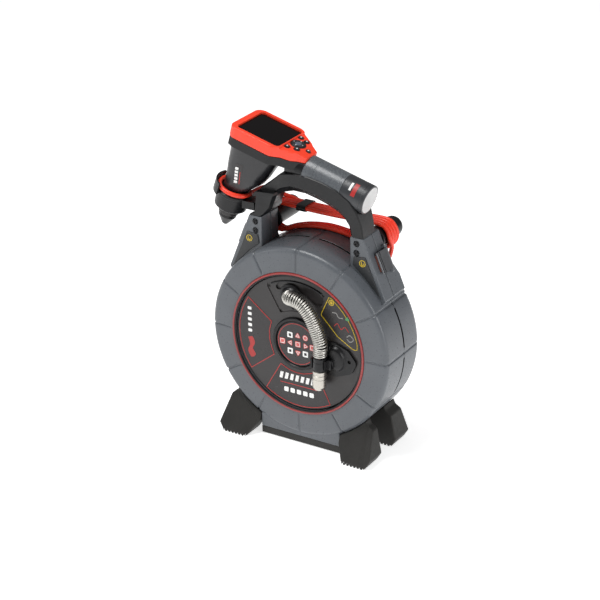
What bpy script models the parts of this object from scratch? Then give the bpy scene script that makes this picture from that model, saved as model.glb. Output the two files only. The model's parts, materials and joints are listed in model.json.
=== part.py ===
"""Drain inspection camera reel with a docked hand-held display.

The reel stands on Z = 0 with its drum axle along Y and its face towards -Y. A front cover
swings down on a pin in the base, and the drum turns on an axle fixed to the rear housing.
Lengths are written in millimetres times MM, so that the scene is in metres.
"""

import bmesh
import bpy
from math import acos, cos, pi, radians, sin, sqrt
from mathutils import Matrix, Vector

MM = 0.001
GAP = 0.3

# Everything is drawn round the drum's axle at X = Y = 0, then moved by this much, which puts
# the middle of the whole object's box over the origin.
BOX_SHIFT = Vector((6.1, 0.5, 0.0))

# Housing: a drum-shaped case split by a plane at PART_Y into a front cover and a rear half.
HOUSING_R = 159.0
WALL = 4.0
AXLE_Z = 178.0
FRONT_Y = -63.0
SHOULDER = 6.5
PART_Y = -7.0
REAR_SHOULDER_Y = 31.0
BACK_Y = 45.0
OPENING_R = 113.8
RING_OUTER_R = 119.5
HOUSING_STEPS = 48

# Base: flat plinth under the case, a skid plate under it and four feet beside it.
PLINTH_HALF = 72.5
PLINTH_Z = (14.0, 42.0)
HINGE_Z = 8.0
PIN_R = 3.0

# Ears that carry the handle, one each side, with sloping outer faces.
EAR_INNER_X = 79.0
EAR_TOP_X = 102.0
EAR_TOP_Z = 364.6
EAR_FOOT = (141.0, 270.0)
EAR_FRONT_Y = -33.0
EAR_BACK_Y = 15.0

# Latch pin, in the frame of the ear's sloping face: distance out of the face, and Y.
LATCH_PIVOT = (3.6, 8.0)

# Pegs that the lead is wound round.
PEG_X = 92.0
PEG_Z = 345.0
PEG_R = 16.5
PEG_END_Y = 86.5
LEAD_R = 3.5

# Drum.
FACE_R = 112.8
FACE_Y = -60.0
BOWL_R = 148.0
AXLE_R = 12.0
SPRING_R = 10.5
HEAD_R = 11.0

# Display: its own frame has +X along the grip, +Z out of the screen.
DISPLAY_ORIGIN = Vector((-70.0, -16.5, 503.0))
DISPLAY_TILT = 15.5
GRIP_R = 23.5
GRIP_DROP = 31.0
GRIP_START, GRIP_SPLIT, GRIP_END = 80.0, 148.0, 190.0

# Dock: its frame has +Z along the display's snout, and its origin at the cup's lip.
DOCK_ORIGIN = Vector((-136.5, -16.5, 395.0))
DOCK_TILT = 20.0
CUP_R = 27.5
NECK_R = 19.6


# ---------------------------------------------------------------- helpers

def clear_scene():
    for obj in list(bpy.data.objects):
        bpy.data.objects.remove(obj, do_unlink=True)


def material(name, colour, roughness, metallic=0.0):
    mat = bpy.data.materials.new(name)
    mat.use_nodes = True
    shader = mat.node_tree.nodes["Principled BSDF"]
    shader.inputs["Base Color"].default_value = (*colour, 1.0)
    shader.inputs["Roughness"].default_value = roughness
    shader.inputs["Metallic"].default_value = metallic
    mat.diffuse_color = (*colour, 1.0)
    return mat


def empty(name, place, turn=None):
    """An empty at place (mm) whose frame the pieces of one moving body are parented to."""
    obj = bpy.data.objects.new(name, None)
    bpy.context.scene.collection.objects.link(obj)
    obj.matrix_basis = Matrix.Translation(Vector(place) * MM) @ (turn or Matrix()).to_4x4()
    return obj


def build(name, bm, colour, parent=None, own_frame=False, sharp=35.0):
    """Makes the object. A parent's frame is used only if the mesh was made in that frame."""
    bmesh.ops.remove_doubles(bm, verts=bm.verts, dist=2e-6)
    bmesh.ops.recalc_face_normals(bm, faces=bm.faces)
    mesh = bpy.data.meshes.new(name)
    bm.to_mesh(mesh)
    bm.free()
    mesh.shade_smooth()
    mesh.set_sharp_from_angle(angle=radians(sharp))
    mesh.materials.append(material(name, *colour))
    obj = bpy.data.objects.new(name, mesh)
    bpy.context.scene.collection.objects.link(obj)
    if parent:
        obj.parent = parent
        if not own_frame:
            obj.matrix_parent_inverse = parent.matrix_basis.inverted()
    return obj


def along_y(centre_x, centre_z):
    """Turns a shape made round Z so that it lies along Y through (centre_x, centre_z)."""
    return Matrix.Translation(Vector((centre_x, 0, centre_z)) * MM) @ Matrix.Rotation(-pi / 2, 4, "X")


def along(start, direction):
    """Turns a shape made along Z so that it starts at a point and runs in a direction."""
    turn = Vector((0, 0, 1)).rotation_difference(Vector(direction)).to_matrix().to_4x4()
    return Matrix.Translation(Vector(start) * MM) @ turn


def turned(profile, steps, place=None):
    """A solid of revolution: (radius, height) points in mm, closed unless both ends are on the axis."""
    bm = bmesh.new()
    points = [bm.verts.new((r * MM, 0, h * MM)) for r, h in profile]
    solid = profile[0][0] == 0 and profile[-1][0] == 0
    pairs = list(zip(points, points[1:])) + ([] if solid else [(points[-1], points[0])])
    edges = [bm.edges.new(pair) for pair in pairs]
    bmesh.ops.spin(bm, geom=points + edges, axis=(0, 0, 1), cent=(0, 0, 0), angle=2 * pi, steps=steps)
    bmesh.ops.remove_doubles(bm, verts=bm.verts, dist=2e-6)
    if place:
        bmesh.ops.transform(bm, matrix=place, verts=bm.verts)
    return bm


def prism(outline, low, high, plane="XZ"):
    """An outline in mm carried from low to high along the axis that its plane leaves out."""
    order = {"XZ": lambda a, b, c: (a, c, b), "XY": lambda a, b, c: (a, b, c),
             "YZ": lambda a, b, c: (c, a, b)}[plane]
    bm = bmesh.new()
    ends = [[bm.verts.new(Vector(order(a, b, c)) * MM) for a, b in outline] for c in (low, high)]
    for ring in ends:
        bm.faces.new(ring)
    count = len(outline)
    for i in range(count):
        j = (i + 1) % count
        bm.faces.new((ends[0][i], ends[0][j], ends[1][j], ends[1][i]))
    return bm


def loft(sections):
    """Skins rings of points (mm), each with the same number of points, and caps both ends."""
    bm = bmesh.new()
    rings = [[bm.verts.new(Vector(point) * MM) for point in section] for section in sections]
    for first, second in zip(rings, rings[1:]):
        for i in range(len(first)):
            j = (i + 1) % len(first)
            bm.faces.new((first[i], first[j], second[j], second[i]))
    bm.faces.new(rings[0])
    bm.faces.new(rings[-1])
    return bm


def rounded(corners, steps=4):
    """An outline with each (x, y, radius) corner rounded by an arc of that radius."""
    outline = []
    for i, (x, y, radius) in enumerate(corners):
        here = Vector((x, y))
        if radius == 0:
            outline.append((x, y))
            continue
        before = (Vector(corners[i - 1][:2]) - here).normalized()
        after = (Vector(corners[(i + 1) % len(corners)][:2]) - here).normalized()
        half = acos(max(-1.0, min(1.0, before.dot(after)))) / 2
        centre = here + (before + after).normalized() * radius / sin(half)
        start = here + before * radius * cos(half) / sin(half) - centre
        end = here + after * radius * cos(half) / sin(half) - centre
        for k in range(steps + 1):
            outline.append(tuple(centre + start.lerp(end, k / steps).normalized() * radius))
    return outline


def arc(centre, radius, start, end, steps):
    return [(centre[0] + radius * cos(radians(start + (end - start) * k / steps)),
             centre[1] + radius * sin(radians(start + (end - start) * k / steps)))
            for k in range(steps + 1)]


def rectangle(x0, y0, x1, y1, radius, steps=3):
    return rounded([(x0, y0, radius), (x1, y0, radius), (x1, y1, radius), (x0, y1, radius)], steps)


def block(low, high):
    return prism([(low[0], low[1]), (high[0], low[1]), (high[0], high[1]), (low[0], high[1])],
                 low[2], high[2], "XY")


def soften(obj, width, segments=2, angle=40.0):
    bevel = obj.modifiers.new("soft_edges", "BEVEL")
    bevel.width = width * MM
    bevel.segments = segments
    bevel.limit_method = "ANGLE"
    bevel.angle_limit = radians(angle)
    return obj


def boolean(obj, other, operation):
    """Joins other to obj, or cuts it away. The other object is kept as a hidden helper."""
    step = obj.modifiers.new(other.name, "BOOLEAN")
    step.operation = operation
    step.object = other
    step.solver = "EXACT"
    other.hide_render = True
    other.display_type = "WIRE"
    return obj


def helper(name, bm, parent=None, own_frame=False):
    return build(name, bm, PLAIN, parent, own_frame)


GREY = ((0.135, 0.145, 0.155), 0.42)
DARK = ((0.05, 0.048, 0.05), 0.5)
BLACK = ((0.02, 0.02, 0.022), 0.45)
RUBBER = ((0.03, 0.03, 0.03), 0.75)
RED = ((0.30, 0.03, 0.025), 0.4)
ORANGE = ((0.80, 0.055, 0.02), 0.38)
SILVER = ((0.62, 0.61, 0.58), 0.28, 1.0)
STEEL = ((0.45, 0.45, 0.46), 0.35, 1.0)
PLAIN = ((0.5, 0.5, 0.5), 0.5)


# ---------------------------------------------------------------- housing

def front_profile():
    """Cross-section (radius, Y) of the front cover, from the parting plane round the shoulder."""
    inner = HOUSING_R - WALL
    shoulder = arc((HOUSING_R - SHOULDER, FRONT_Y + SHOULDER + 2.0), SHOULDER, 0, -90, 3)
    return ([(HOUSING_R, PART_Y - GAP)] + shoulder
            + [(RING_OUTER_R + GAP, FRONT_Y), (RING_OUTER_R + GAP, FRONT_Y + 2.1),
               (OPENING_R, FRONT_Y + 2.1), (OPENING_R, FRONT_Y + 5.8),
               (inner - 8, FRONT_Y + 5.8), (inner, FRONT_Y + 13), (inner, PART_Y - GAP)])


def rear_profile():
    """Cross-section (radius, Y) of the rear half, whose back wall has a boss round the axle."""
    inner = HOUSING_R - WALL
    shoulder = arc((HOUSING_R - 14, REAR_SHOULDER_Y), 14, 0, 90, 3)
    return ([(inner, PART_Y + GAP), (inner, REAR_SHOULDER_Y), (inner - 10, BACK_Y - WALL),
             (AXLE_R + GAP, BACK_Y - WALL)]
            + [(AXLE_R + GAP, BACK_Y)] + shoulder[::-1] + [(HOUSING_R, PART_Y + GAP)])


def ear_outline(side):
    """Front view of an ear: straight inside, sloping outside, its foot sunk in the case's wall."""
    sink_r = HOUSING_R - 2.0
    foot_angles = (31.5, 38, 45, 52)
    outline = [(EAR_INNER_X, AXLE_Z + sqrt(sink_r ** 2 - EAR_INNER_X ** 2)),
               (EAR_INNER_X, EAR_TOP_Z - GAP), (EAR_TOP_X, EAR_TOP_Z - GAP), EAR_FOOT]
    outline += [(sink_r * cos(radians(a)), AXLE_Z + sink_r * sin(radians(a))) for a in foot_angles]
    return [(side * x, z) for x, z in outline]


def plinth(name, y0, y1):
    """The flat-bottomed block between the feet that merges with the round case."""
    low, high = PLINTH_Z
    corner = 8.0
    bm = prism(rounded([(-PLINTH_HALF, low, 2), (PLINTH_HALF, low, 2),
                        (PLINTH_HALF, high, corner), (-PLINTH_HALF, high, corner)], 2), y0, y1)
    return helper(name, bm)


def inner_room(name, y0, y1):
    """The room for the drum, taken out of a plinth so that the plinth ends inside the case's wall."""
    radius = HOUSING_R - WALL / 2
    return helper(name, turned([(0, y0), (radius, y0), (radius, y1), (0, y1)][::-1],
                               HOUSING_STEPS, along_y(0, AXLE_Z)))


def front_housing(cover):
    obj = build("front_housing", turned(front_profile(), HOUSING_STEPS, along_y(0, AXLE_Z)), GREY, cover)
    for side, word in ((-1, "left"), (1, "right")):
        ear = helper(f"{word}_front_ear", prism(ear_outline(side), EAR_FRONT_Y, PART_Y - 0.5))
        boolean(obj, ear, "UNION")
    low = plinth("front_plinth", FRONT_Y + 4, PART_Y - 0.5)
    boolean(low, inner_room("front_room", FRONT_Y + 6, PART_Y + 10), "DIFFERENCE")
    return boolean(obj, low, "UNION")


def rear_housing():
    obj = build("rear_housing", turned(rear_profile(), HOUSING_STEPS, along_y(0, AXLE_Z)), GREY)
    ear_back = REAR_SHOULDER_Y - 3
    back_slope = [(EAR_BACK_Y, 322), (EAR_BACK_Y, 400), (60, 400), (60, 290), (ear_back + 1, 290)]
    for side, word in ((-1, "left"), (1, "right")):
        ear = helper(f"{word}_rear_ear", prism(ear_outline(side), PART_Y + 0.5, ear_back))
        low_x, high_x = sorted((side * 60, side * 170))
        boolean(ear, helper(f"{word}_ear_slope", prism(back_slope, low_x, high_x, "YZ")), "DIFFERENCE")
        boolean(obj, ear, "UNION")
        for lug in latch_lugs(side, word):
            boolean(obj, lug, "UNION")
        boolean(obj, latch_bore(f"{word}_lug_bore", side, 2.3), "DIFFERENCE")
    low = plinth("rear_plinth", PART_Y + 0.5, REAR_SHOULDER_Y - 5)
    boolean(low, inner_room("rear_room", PART_Y - 10, REAR_SHOULDER_Y - 2), "DIFFERENCE")
    return boolean(obj, low, "UNION")


def front_ring(cover):
    profile = [(OPENING_R, FRONT_Y + 1.8), (OPENING_R + 0.8, FRONT_Y - 1.6),
               (RING_OUTER_R - 0.8, FRONT_Y - 1.6), (RING_OUTER_R, FRONT_Y + 1.8)]
    return build("front_ring", turned(profile, HOUSING_STEPS, along_y(0, AXLE_Z)), RED, cover)


def post_panel(side, word, cover):
    """Dark wedge plate on the front of an ear, above the case's rim."""
    outline = [(84, 320), (86, 334), (106, 336), (134.5, 271), (126, 280), (104, 303)]
    bm = prism([(side * x, z) for x, z in outline], EAR_FRONT_Y - 1.6, EAR_FRONT_Y - GAP)
    return soften(build(f"{word}_post_panel", bm, BLACK, cover), 0.5, 1)


def ear_screw(side, word, level, z, cover):
    """Pan-head screw with a cross-shaped socket turned towards the front."""
    name = f"{word}_{level}_screw"
    profile = [(0, 0), (4.2, 0), (4.2, 1.2), (3.0, 2.2), (0, 2.2)][::-1]
    place = along((side * 90.5, EAR_FRONT_Y - GAP, z), (0, -1, 0))
    obj = build(name, turned(profile, 16, place), STEEL, cover)
    cross = [(-0.5, 0.5), (-0.5, 2), (0.5, 2), (0.5, 0.5), (2, 0.5), (2, -0.5), (0.5, -0.5),
             (0.5, -2), (-0.5, -2), (-0.5, -0.5), (-2, -0.5), (-2, 0.5)]
    socket = prism([(side * 90.5 + x, z + dz) for x, dz in cross], EAR_FRONT_Y - 4, EAR_FRONT_Y - 1.4)
    return boolean(obj, helper(f"{name}_socket", socket), "DIFFERENCE")


# ---------------------------------------------------------------- base

def foot(name, side, y_toe, y_heel, parent, lean):
    """A foot with a flat sole and a saddle that hugs the case. Its upper toe edge leans inwards."""
    sole = [(88.8, 0, 0), (129.7, 0, 0), (138.8, 14.2, 2), (131.0, 56.0, 30), (121.0, 63.0, 32)]
    saddle_r = HOUSING_R + 0.6
    saddle = [(x, AXLE_Z - sqrt(saddle_r ** 2 - x * x), 31 - 0.1 * (118 - x)) for x in (118, 104, 90)]
    inner_x = PLINTH_HALF + 0.5
    inner = [(inner_x, AXLE_Z - sqrt(saddle_r ** 2 - inner_x ** 2), 26), (inner_x, 24.0, 20)]
    outline = sole + saddle + inner
    sections = [[(side * x, y_toe + lean * shift, z) for x, z, shift in outline],
                [(side * x, y_heel, z) for x, z, shift in outline]]
    return soften(build(name, loft(sections), RUBBER, parent), 1.2, 1)


def base_leaf(name, y_box, knuckles, parent):
    """Skid plate with hinge knuckles round the pin."""
    obj = build(name, block((-PLINTH_HALF, y_box[0], 2.0), (PLINTH_HALF, y_box[1], PLINTH_Z[0] - GAP)),
                RUBBER, parent)
    reach = 11.0
    for index, (x0, x1) in enumerate(knuckles):
        barrel = turned([(0, 0), (5.4, 0), (5.4, x1 - x0), (0, x1 - x0)][::-1], 20,
                        along((x0, PART_Y, HINGE_Z), (1, 0, 0)))
        boolean(obj, helper(f"{name}_knuckle_{index}", barrel), "UNION")
        low_y, high_y = sorted((PART_Y, PART_Y + reach if y_box[0] > PART_Y else PART_Y - reach))
        web = block((x0, low_y, 3.0), (x1, high_y, PLINTH_Z[0] - 1.2))
        boolean(obj, helper(f"{name}_web_{index}", web), "UNION")
    bore = turned([(0, 0), (PIN_R + 0.3, 0), (PIN_R + 0.3, 180), (0, 180)][::-1], 20,
                  along((-90, PART_Y, HINGE_Z), (1, 0, 0)))
    return boolean(obj, helper(f"{name}_bore", bore), "DIFFERENCE")


def hinge_pin():
    bm = turned([(0, 0), (PIN_R, 0), (PIN_R, 124), (0, 124)][::-1], 20,
                along((-62, PART_Y, HINGE_Z), (1, 0, 0)))
    return build("hinge_pin", bm, STEEL)


# ---------------------------------------------------------------- handle, pegs and latches

def handle_section(upper, lower, y0, y1, top_cut, low_cut):
    """Eight-cornered section between an upper and a lower point, from y0 to y1."""
    up, low = Vector((upper[0], 0, upper[1])), Vector((lower[0], 0, lower[1]))
    height = (up - low).length
    rise = (up - low) / height
    corners = [(y0, low_cut), (y0, height - top_cut), (y0 + top_cut, height), (y1 - top_cut, height),
               (y1, height - top_cut), (y1, low_cut), (y1 - low_cut, 0), (y0 + low_cut, 0)]
    return [tuple(low + rise * h + Vector((0, y, 0))) for y, h in corners]


def carry_handle(display):
    """The arch between the ears, with a trough along its top that the display's grip lies in."""
    stations = [((102, 364.9), (79, 364.9), -33, 4, 2, 4), ((100, 384), (76, 380), -34, 4, 2, 5),
                ((94, 406), (69, 391), -38, 6, 2, 8), ((83, 425), (57, 400), -41, 8, 2, 11),
                ((62, 438), (40, 408), -42, 9, 1.5, 11), ((37, 446), (22, 413.5), -42, 9, 1.5, 11),
                ((10, 451), (1, 418.5), -42, 9, 1.5, 11), ((-20, 450), (-20, 419), -42, 9, 1.5, 11),
                ((-39, 446), (-40, 413), -40, 7, 1.5, 10), ((-57, 431), (-52, 404), -36, 3, 2, 7),
                ((-76, 416), (-59, 388), -34, 1, 2, 5), ((-89, 403), (-62, 380), -33, 4, 2, 4),
                ((-93, 370), (-72, 370), -33, 4, 2, 4), ((-102, 364.9), (-79, 364.9), -33, 4, 2, 4)]
    obj = build("carry_handle", loft([handle_section(*s) for s in stations]), BLACK, sharp=50)
    seat_r = GRIP_R + 1.0
    seat = turned([(0, 0), (seat_r, 0), (seat_r, 190), (0, 190)][::-1], 32,
                  along((46, 0, -GRIP_DROP), (1, 0, 0)))
    seat = helper("grip_seat", seat, display, True)
    mouth = helper("grip_mouth", block((46, -seat_r, -GRIP_DROP), (236, seat_r, 30)), display, True)
    ledge = helper("key_end_room", block((30, -40, -32.5), (88, 40, 32)), display, True)
    wing = [(-87.5, 403), (-81.5, 410.5), (-48, 413), (-48, 409), (-70, 404)]
    boolean(obj, helper("dock_wing", prism(wing, -45, -8)), "UNION")
    boolean(obj, seat, "DIFFERENCE")
    boolean(obj, ledge, "DIFFERENCE")
    return boolean(obj, mouth, "DIFFERENCE")


def peg(side, word):
    """Peg with a flange against the ear and a rounded end."""
    length = PEG_END_Y - EAR_BACK_Y - GAP
    end = arc((PEG_R - 12, length - 12), 12, 0, 90, 3)
    profile = [(0, 0), (19, 0), (19, 3.5), (PEG_R, 5.5)] + end + [(0, length)]
    build(f"{word}_peg", turned(profile[::-1], 18, along((side * PEG_X, EAR_BACK_Y + GAP, PEG_Z),
                                                         (0, 1, 0))), BLACK)


def latch_frame(side):
    """Frame on the ear's sloping face: X out of the face, Y along the reel's Y, Z up the slope."""
    slope = Vector((EAR_FOOT[0] - EAR_TOP_X, 0, EAR_FOOT[1] - EAR_TOP_Z)).normalized()
    out = Vector((side * -slope.z, 0, slope.x))
    up = Vector((side * -slope.x, 0, -slope.z))
    middle = Vector((side * 118.6, 0, 324.5))
    turn = Matrix((out, Vector((0, 1, 0)), up)).transposed()
    return Matrix.Translation(middle * MM) @ turn.to_4x4(), out, up


def latch_bore(name, side, radius):
    """Cylinder round the latch's pin, as long as the pin with its lugs and more."""
    place = latch_frame(side)[0] @ Matrix.Translation(Vector((*LATCH_PIVOT, 0)) * MM)
    return helper(name, turned([(0, -30), (radius, -30), (radius, 30), (0, 30)][::-1], 16, place))


def latch_lugs(side, word):
    """Two lugs on the rear ear that hold the ends of the latch's pin."""
    lugs = []
    for level, low, high in (("low", -23.5, -19.4), ("high", 15.4, 19.5)):
        outline = rounded([(-2.5, 3.2, 0), (6.4, 4.6, 2.4), (6.4, 11.4, 2.4), (-2.5, 12.8, 0)], 2)
        bm = prism(outline, low, high, "XY")
        bmesh.ops.transform(bm, matrix=latch_frame(side)[0], verts=bm.verts)
        lugs.append(helper(f"{word}_{level}_lug", bm))
    return lugs


def latch(side, word):
    """Toggle lever, its pin on the rear half and its keeper on the front cover."""
    place, out, up = latch_frame(side)
    hinge = place @ Matrix.Translation(Vector((LATCH_PIVOT[0], LATCH_PIVOT[1], 0)) * MM)
    axis = empty(f"{word}_latch_axis", hinge.translation / MM,
                 Vector((0, 0, 1)).rotation_difference(up).to_matrix())
    plate = rounded([(3.4, -21, 0.6), (6.2, -21, 1.4), (7.2, 5, 1.5), (6.6, 11, 2.5),
                     (0.9, 11, 2.2), (0.9, 5.2, 1.2), (3.4, 3, 0)], 2)
    bm = prism(plate, -19, 15, "XY")
    bmesh.ops.transform(bm, matrix=place, verts=bm.verts)
    lever = build(f"{word}_latch", bm, DARK, axis)
    boolean(lever, latch_bore(f"{word}_latch_bore", side, 2.3), "DIFFERENCE")
    pin = turned([(0, -24.5), (2.0, -24.5), (2.0, 20.5), (0, 20.5)][::-1], 16, hinge)
    build(f"{word}_latch_pin", pin, STEEL)


def latch_keeper(side, word, cover):
    outline = rounded([(GAP, -20.4, 0), (2.8, -20.4, 0.8), (2.8, -12, 0.8), (GAP, -12, 0)], 2)
    bm = prism(outline, -15, 11, "XY")
    bmesh.ops.transform(bm, matrix=latch_frame(side)[0], verts=bm.verts)
    return build(f"{word}_latch_keeper", bm, STEEL, cover)


# ---------------------------------------------------------------- drum

def drum_face(drum):
    profile = [(0, FACE_Y), (FACE_R - 1.5, FACE_Y), (FACE_R, FACE_Y + 1.5), (FACE_R, FACE_Y + 5.7),
               (0, FACE_Y + 5.7)]
    obj = build("drum_face", turned(profile[::-1], HOUSING_STEPS, along_y(0, AXLE_Z)), DARK, drum)
    exit_hole = turned([(0, -20), (12.2, -20), (12.2, 20), (0, 20)][::-1], 20,
                       along((SPRING_ROUTE[0].x, FACE_Y, SPRING_ROUTE[0].z), (0, 1, 0)))
    return boolean(obj, helper("spring_exit_hole", exit_hole), "DIFFERENCE")


def drum_bowl(drum):
    """The turning tub behind the face, with a hub tube round the axle's bush."""
    front = FACE_Y + 6.0
    profile = [(FACE_R - 3.5, front), (BOWL_R, front), (BOWL_R, 30), (16, 30), (16, -18), (20, -18),
               (20, 27), (BOWL_R - 3, 27), (BOWL_R - 3, front + 3), (FACE_R - 3.5, front + 3)][::-1]
    return build("drum_bowl", turned(profile, 32, along_y(0, AXLE_Z)), BLACK, drum)


def drum_bush(drum):
    profile = [(AXLE_R + 0.3, -14), (15.7, -14), (15.7, 26), (AXLE_R + 0.3, 26)]
    return build("drum_bush", turned(profile, 24, along_y(0, AXLE_Z)), STEEL, drum)


def drum_axle():
    profile = [(0, -26), (AXLE_R - 1, -26), (AXLE_R, -25), (AXLE_R, BACK_Y + 1), (0, BACK_Y + 1)]
    return build("drum_axle", turned(profile[::-1], 24, along_y(0, AXLE_Z)), STEEL)


def slip_ring_cover():
    start = BACK_Y + GAP
    profile = [(0, start + 1.6), (AXLE_R + 0.6, start + 1.6), (AXLE_R + 0.6, start), (40, start),
               (40, start + 9), (37, start + 13), (0, start + 13)]
    return build("slip_ring_cover", turned(profile[::-1], 28, along_y(0, AXLE_Z)), BLACK)


def push_cable_coil(drum):
    """The stored push cable as one ring with the outer shape of its turns."""
    profile = rectangle(92, -34, 142, 16, 9, 1)
    return build("push_cable_coil", turned(profile, 28, along_y(0, AXLE_Z)), ORANGE, drum)


def keypad(drum):
    front = FACE_Y - GAP
    ring = [(37.6, front), (38.4, front - 3.9), (43.4, front - 3.9), (44.2, front)]
    build("keypad_ring", turned(ring, 36, along_y(0, AXLE_Z)), BLACK, drum)
    panel = [(0, front), (37.2, front), (37.2, front - 1.8), (36.2, front - 2.4), (0, front - 2.4)][::-1]
    build("keypad_panel", turned(panel, 32, along_y(0, AXLE_Z)), DARK, drum)


# Middle line of the steel spring, from inside the drum's face to the camera's sleeve.
HEAD_AXIS = Vector((-0.057, 0.02, -1)).normalized()
SPRING_END = Vector((49.8, -76.3, 175.0))
SPRING_ROUTE = [Vector(p) for p in ((-12, -52, 256), (-12, -62, 256.5), (-7, -71, 258.5), (4, -75.5, 260),
                                    (19, -76.3, 255), (33.3, -76.5, 239), (44, -76.6, 217))]
SPRING_ROUTE += [SPRING_END - HEAD_AXIS * 22, SPRING_END - HEAD_AXIS * 11, SPRING_END]
SLEEVE_R = 11.3
SLEEVE_TOP = SPRING_END + HEAD_AXIS * 2 * GAP
SLEEVE_LENGTH = 23.0


def smooth_route(points, shortest, longest, most_turn=30.0):
    """Points along a Catmull-Rom curve through the given points, closer together where it turns."""
    padded = [points[0] * 2 - points[1]] + list(points) + [points[-1] * 2 - points[-2]]
    dense = []
    for a, b, c, d in zip(padded, padded[1:], padded[2:], padded[3:]):
        for k in range(12):
            t = k / 12
            dense.append(0.5 * ((2 * b) + (c - a) * t + (2 * a - 5 * b + 4 * c - d) * t * t
                                + (3 * b - 3 * c + d - a) * t ** 3))
    dense.append(points[-1])
    route, walked, turned_by = [dense[0]], 0.0, 0.0
    for before, here, after in zip(dense, dense[1:], dense[2:]):
        walked += (here - before).length
        turned_by += (here - before).angle(after - here)
        if walked >= shortest and (walked >= longest or turned_by >= radians(most_turn)):
            route.append(here)
            walked, turned_by = 0.0, 0.0
    if (route[-1] - dense[-1]).length < shortest / 2:
        route.pop()
    return route + [dense[-1]]


def tube(name, points, radius, colour, parent=None, resolution=2):
    """A plain round tube along points in mm."""
    curve = bpy.data.curves.new(name, "CURVE")
    curve.dimensions = "3D"
    curve.bevel_depth = radius * MM
    curve.bevel_resolution = resolution
    curve.use_fill_caps = True
    spline = curve.splines.new("POLY")
    spline.points.add(len(points) - 1)
    for point, place in zip(spline.points, points):
        point.co = (*(place * MM), 1.0)
    curve.materials.append(material(name, *colour))
    obj = bpy.data.objects.new(name, curve)
    bpy.context.scene.collection.objects.link(obj)
    if parent:
        obj.parent = parent
        obj.matrix_parent_inverse = parent.matrix_basis.inverted()
    return obj


def camera(drum):
    """Spring, sleeve, camera head and window, stowed against the drum's face."""
    tube("camera_spring", smooth_route(SPRING_ROUTE, 14.0, 14.0), SPRING_R, SILVER, drum, 3)
    sleeve = [(0, 0), (SLEEVE_R - 0.8, 0), (SLEEVE_R, 1), (SLEEVE_R, SLEEVE_LENGTH - 1),
              (SLEEVE_R - 0.8, SLEEVE_LENGTH), (0, SLEEVE_LENGTH)][::-1]
    build("camera_sleeve", turned(sleeve, 20, along(SLEEVE_TOP, HEAD_AXIS)), BLACK, drum)
    top = SLEEVE_TOP + HEAD_AXIS * (SLEEVE_LENGTH + GAP)
    head = [(0, 0), (HEAD_R, 0), (HEAD_R, 28), (HEAD_R - 2.2, 32.4), (7.4, 33), (7.4, 31.6),
            (0, 31.6)][::-1]
    build("camera_head", turned(head, 20, along(top, HEAD_AXIS)), SILVER, drum)
    window = [(0, 0), (7.0, 0), (7.0, 1.2), (5.8, 2.0), (0, 2.0)][::-1]
    build("camera_window", turned(window, 16, along(top + HEAD_AXIS * 31.9, HEAD_AXIS)), DARK, drum)


def spring_guide(drum):
    """Ring that leads the spring out of the drum's face."""
    start = SPRING_ROUTE[0]
    profile = [(12.6, 0), (20.5, 0), (18.6, 3.4), (15.6, 3.4)]
    place = along((start.x, FACE_Y - GAP, start.z), (0, -1, 0))
    return build("spring_guide", turned(profile, 24, place), BLACK, drum)


def camera_clip(drum):
    """Holder: a plate on the face beside the keypad, and a C-shaped jaw round the camera's sleeve."""
    front = FACE_Y - GAP
    plate = rounded([(34, 190, 4), (34, 144, 4), (70, 139, 6), (98, 150, 14), (107, 170, 8),
                     (92, 188, 10), (66, 197, 6)], 3)
    obj = build("camera_clip", prism(plate, front - 3.4, front), BLACK, drum)
    middle = SLEEVE_TOP + HEAD_AXIS * SLEEVE_LENGTH / 2
    jaw = arc((middle.x, middle.y), SLEEVE_R + 3.6, 215, -30, 8)
    jaw += arc((middle.x, middle.y), SLEEVE_R + 0.9, -30, 215, 8)
    jaw = helper("clip_jaw", prism(jaw, middle.z - 8, middle.z + 8, "XY"))
    root = block((middle.x + SLEEVE_R + 1.6, middle.y, middle.z - 8),
                 (middle.x + SLEEVE_R + 8, front - 2, middle.z + 8))
    boolean(jaw, helper("clip_root", root), "UNION")
    boolean(obj, jaw, "UNION")
    hole = turned([(0, -8), (3.0, -8), (3.0, 8), (0, 8)][::-1], 16, along((94, front, 170), (0, 1, 0)))
    boolean(obj, helper("clip_hole", hole), "DIFFERENCE")
    keypad_room = turned([(0, front - 4.2), (45.0, front - 4.2), (45.0, front + 2), (0, front + 2)][::-1],
                         32, along_y(0, AXLE_Z))
    return boolean(obj, helper("keypad_room", keypad_room), "DIFFERENCE")


# ---------------------------------------------------------------- display

def display_outline():
    """Top view: a wide screen end that narrows through the keys to the grip."""
    end = GRIP_START - GAP
    near = [(-48, -44, 14), (31, -44, 14), (44, -33, 10), (59, -29, 9), (70, -19.5, 8), (end, -15.5, 4)]
    far = [(end, 15.5, 4), (68, 20, 8), (55, 29, 14), (33, 44, 16), (-48, 44, 14)]
    return rounded(near + far, 2)


# Each key's place on the display, and the height of its top.
KEYS = {"key_a": (44.0, -18.5, 0.8), "key_b": (43.5, 22.0, 0.8), "key_c": (56.5, 18.0, 0.8),
        "key_d": (58.5, -13.5, 0.8), "key_e": (71.0, 0.5, -1.9)}
PAD = (51.5, 1.5, 0.8)
PAD_R = 10.5
KEY_R = 3.7
KEY_HEIGHT = 3.3
POCKET_DEPTH = 4.8


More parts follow.
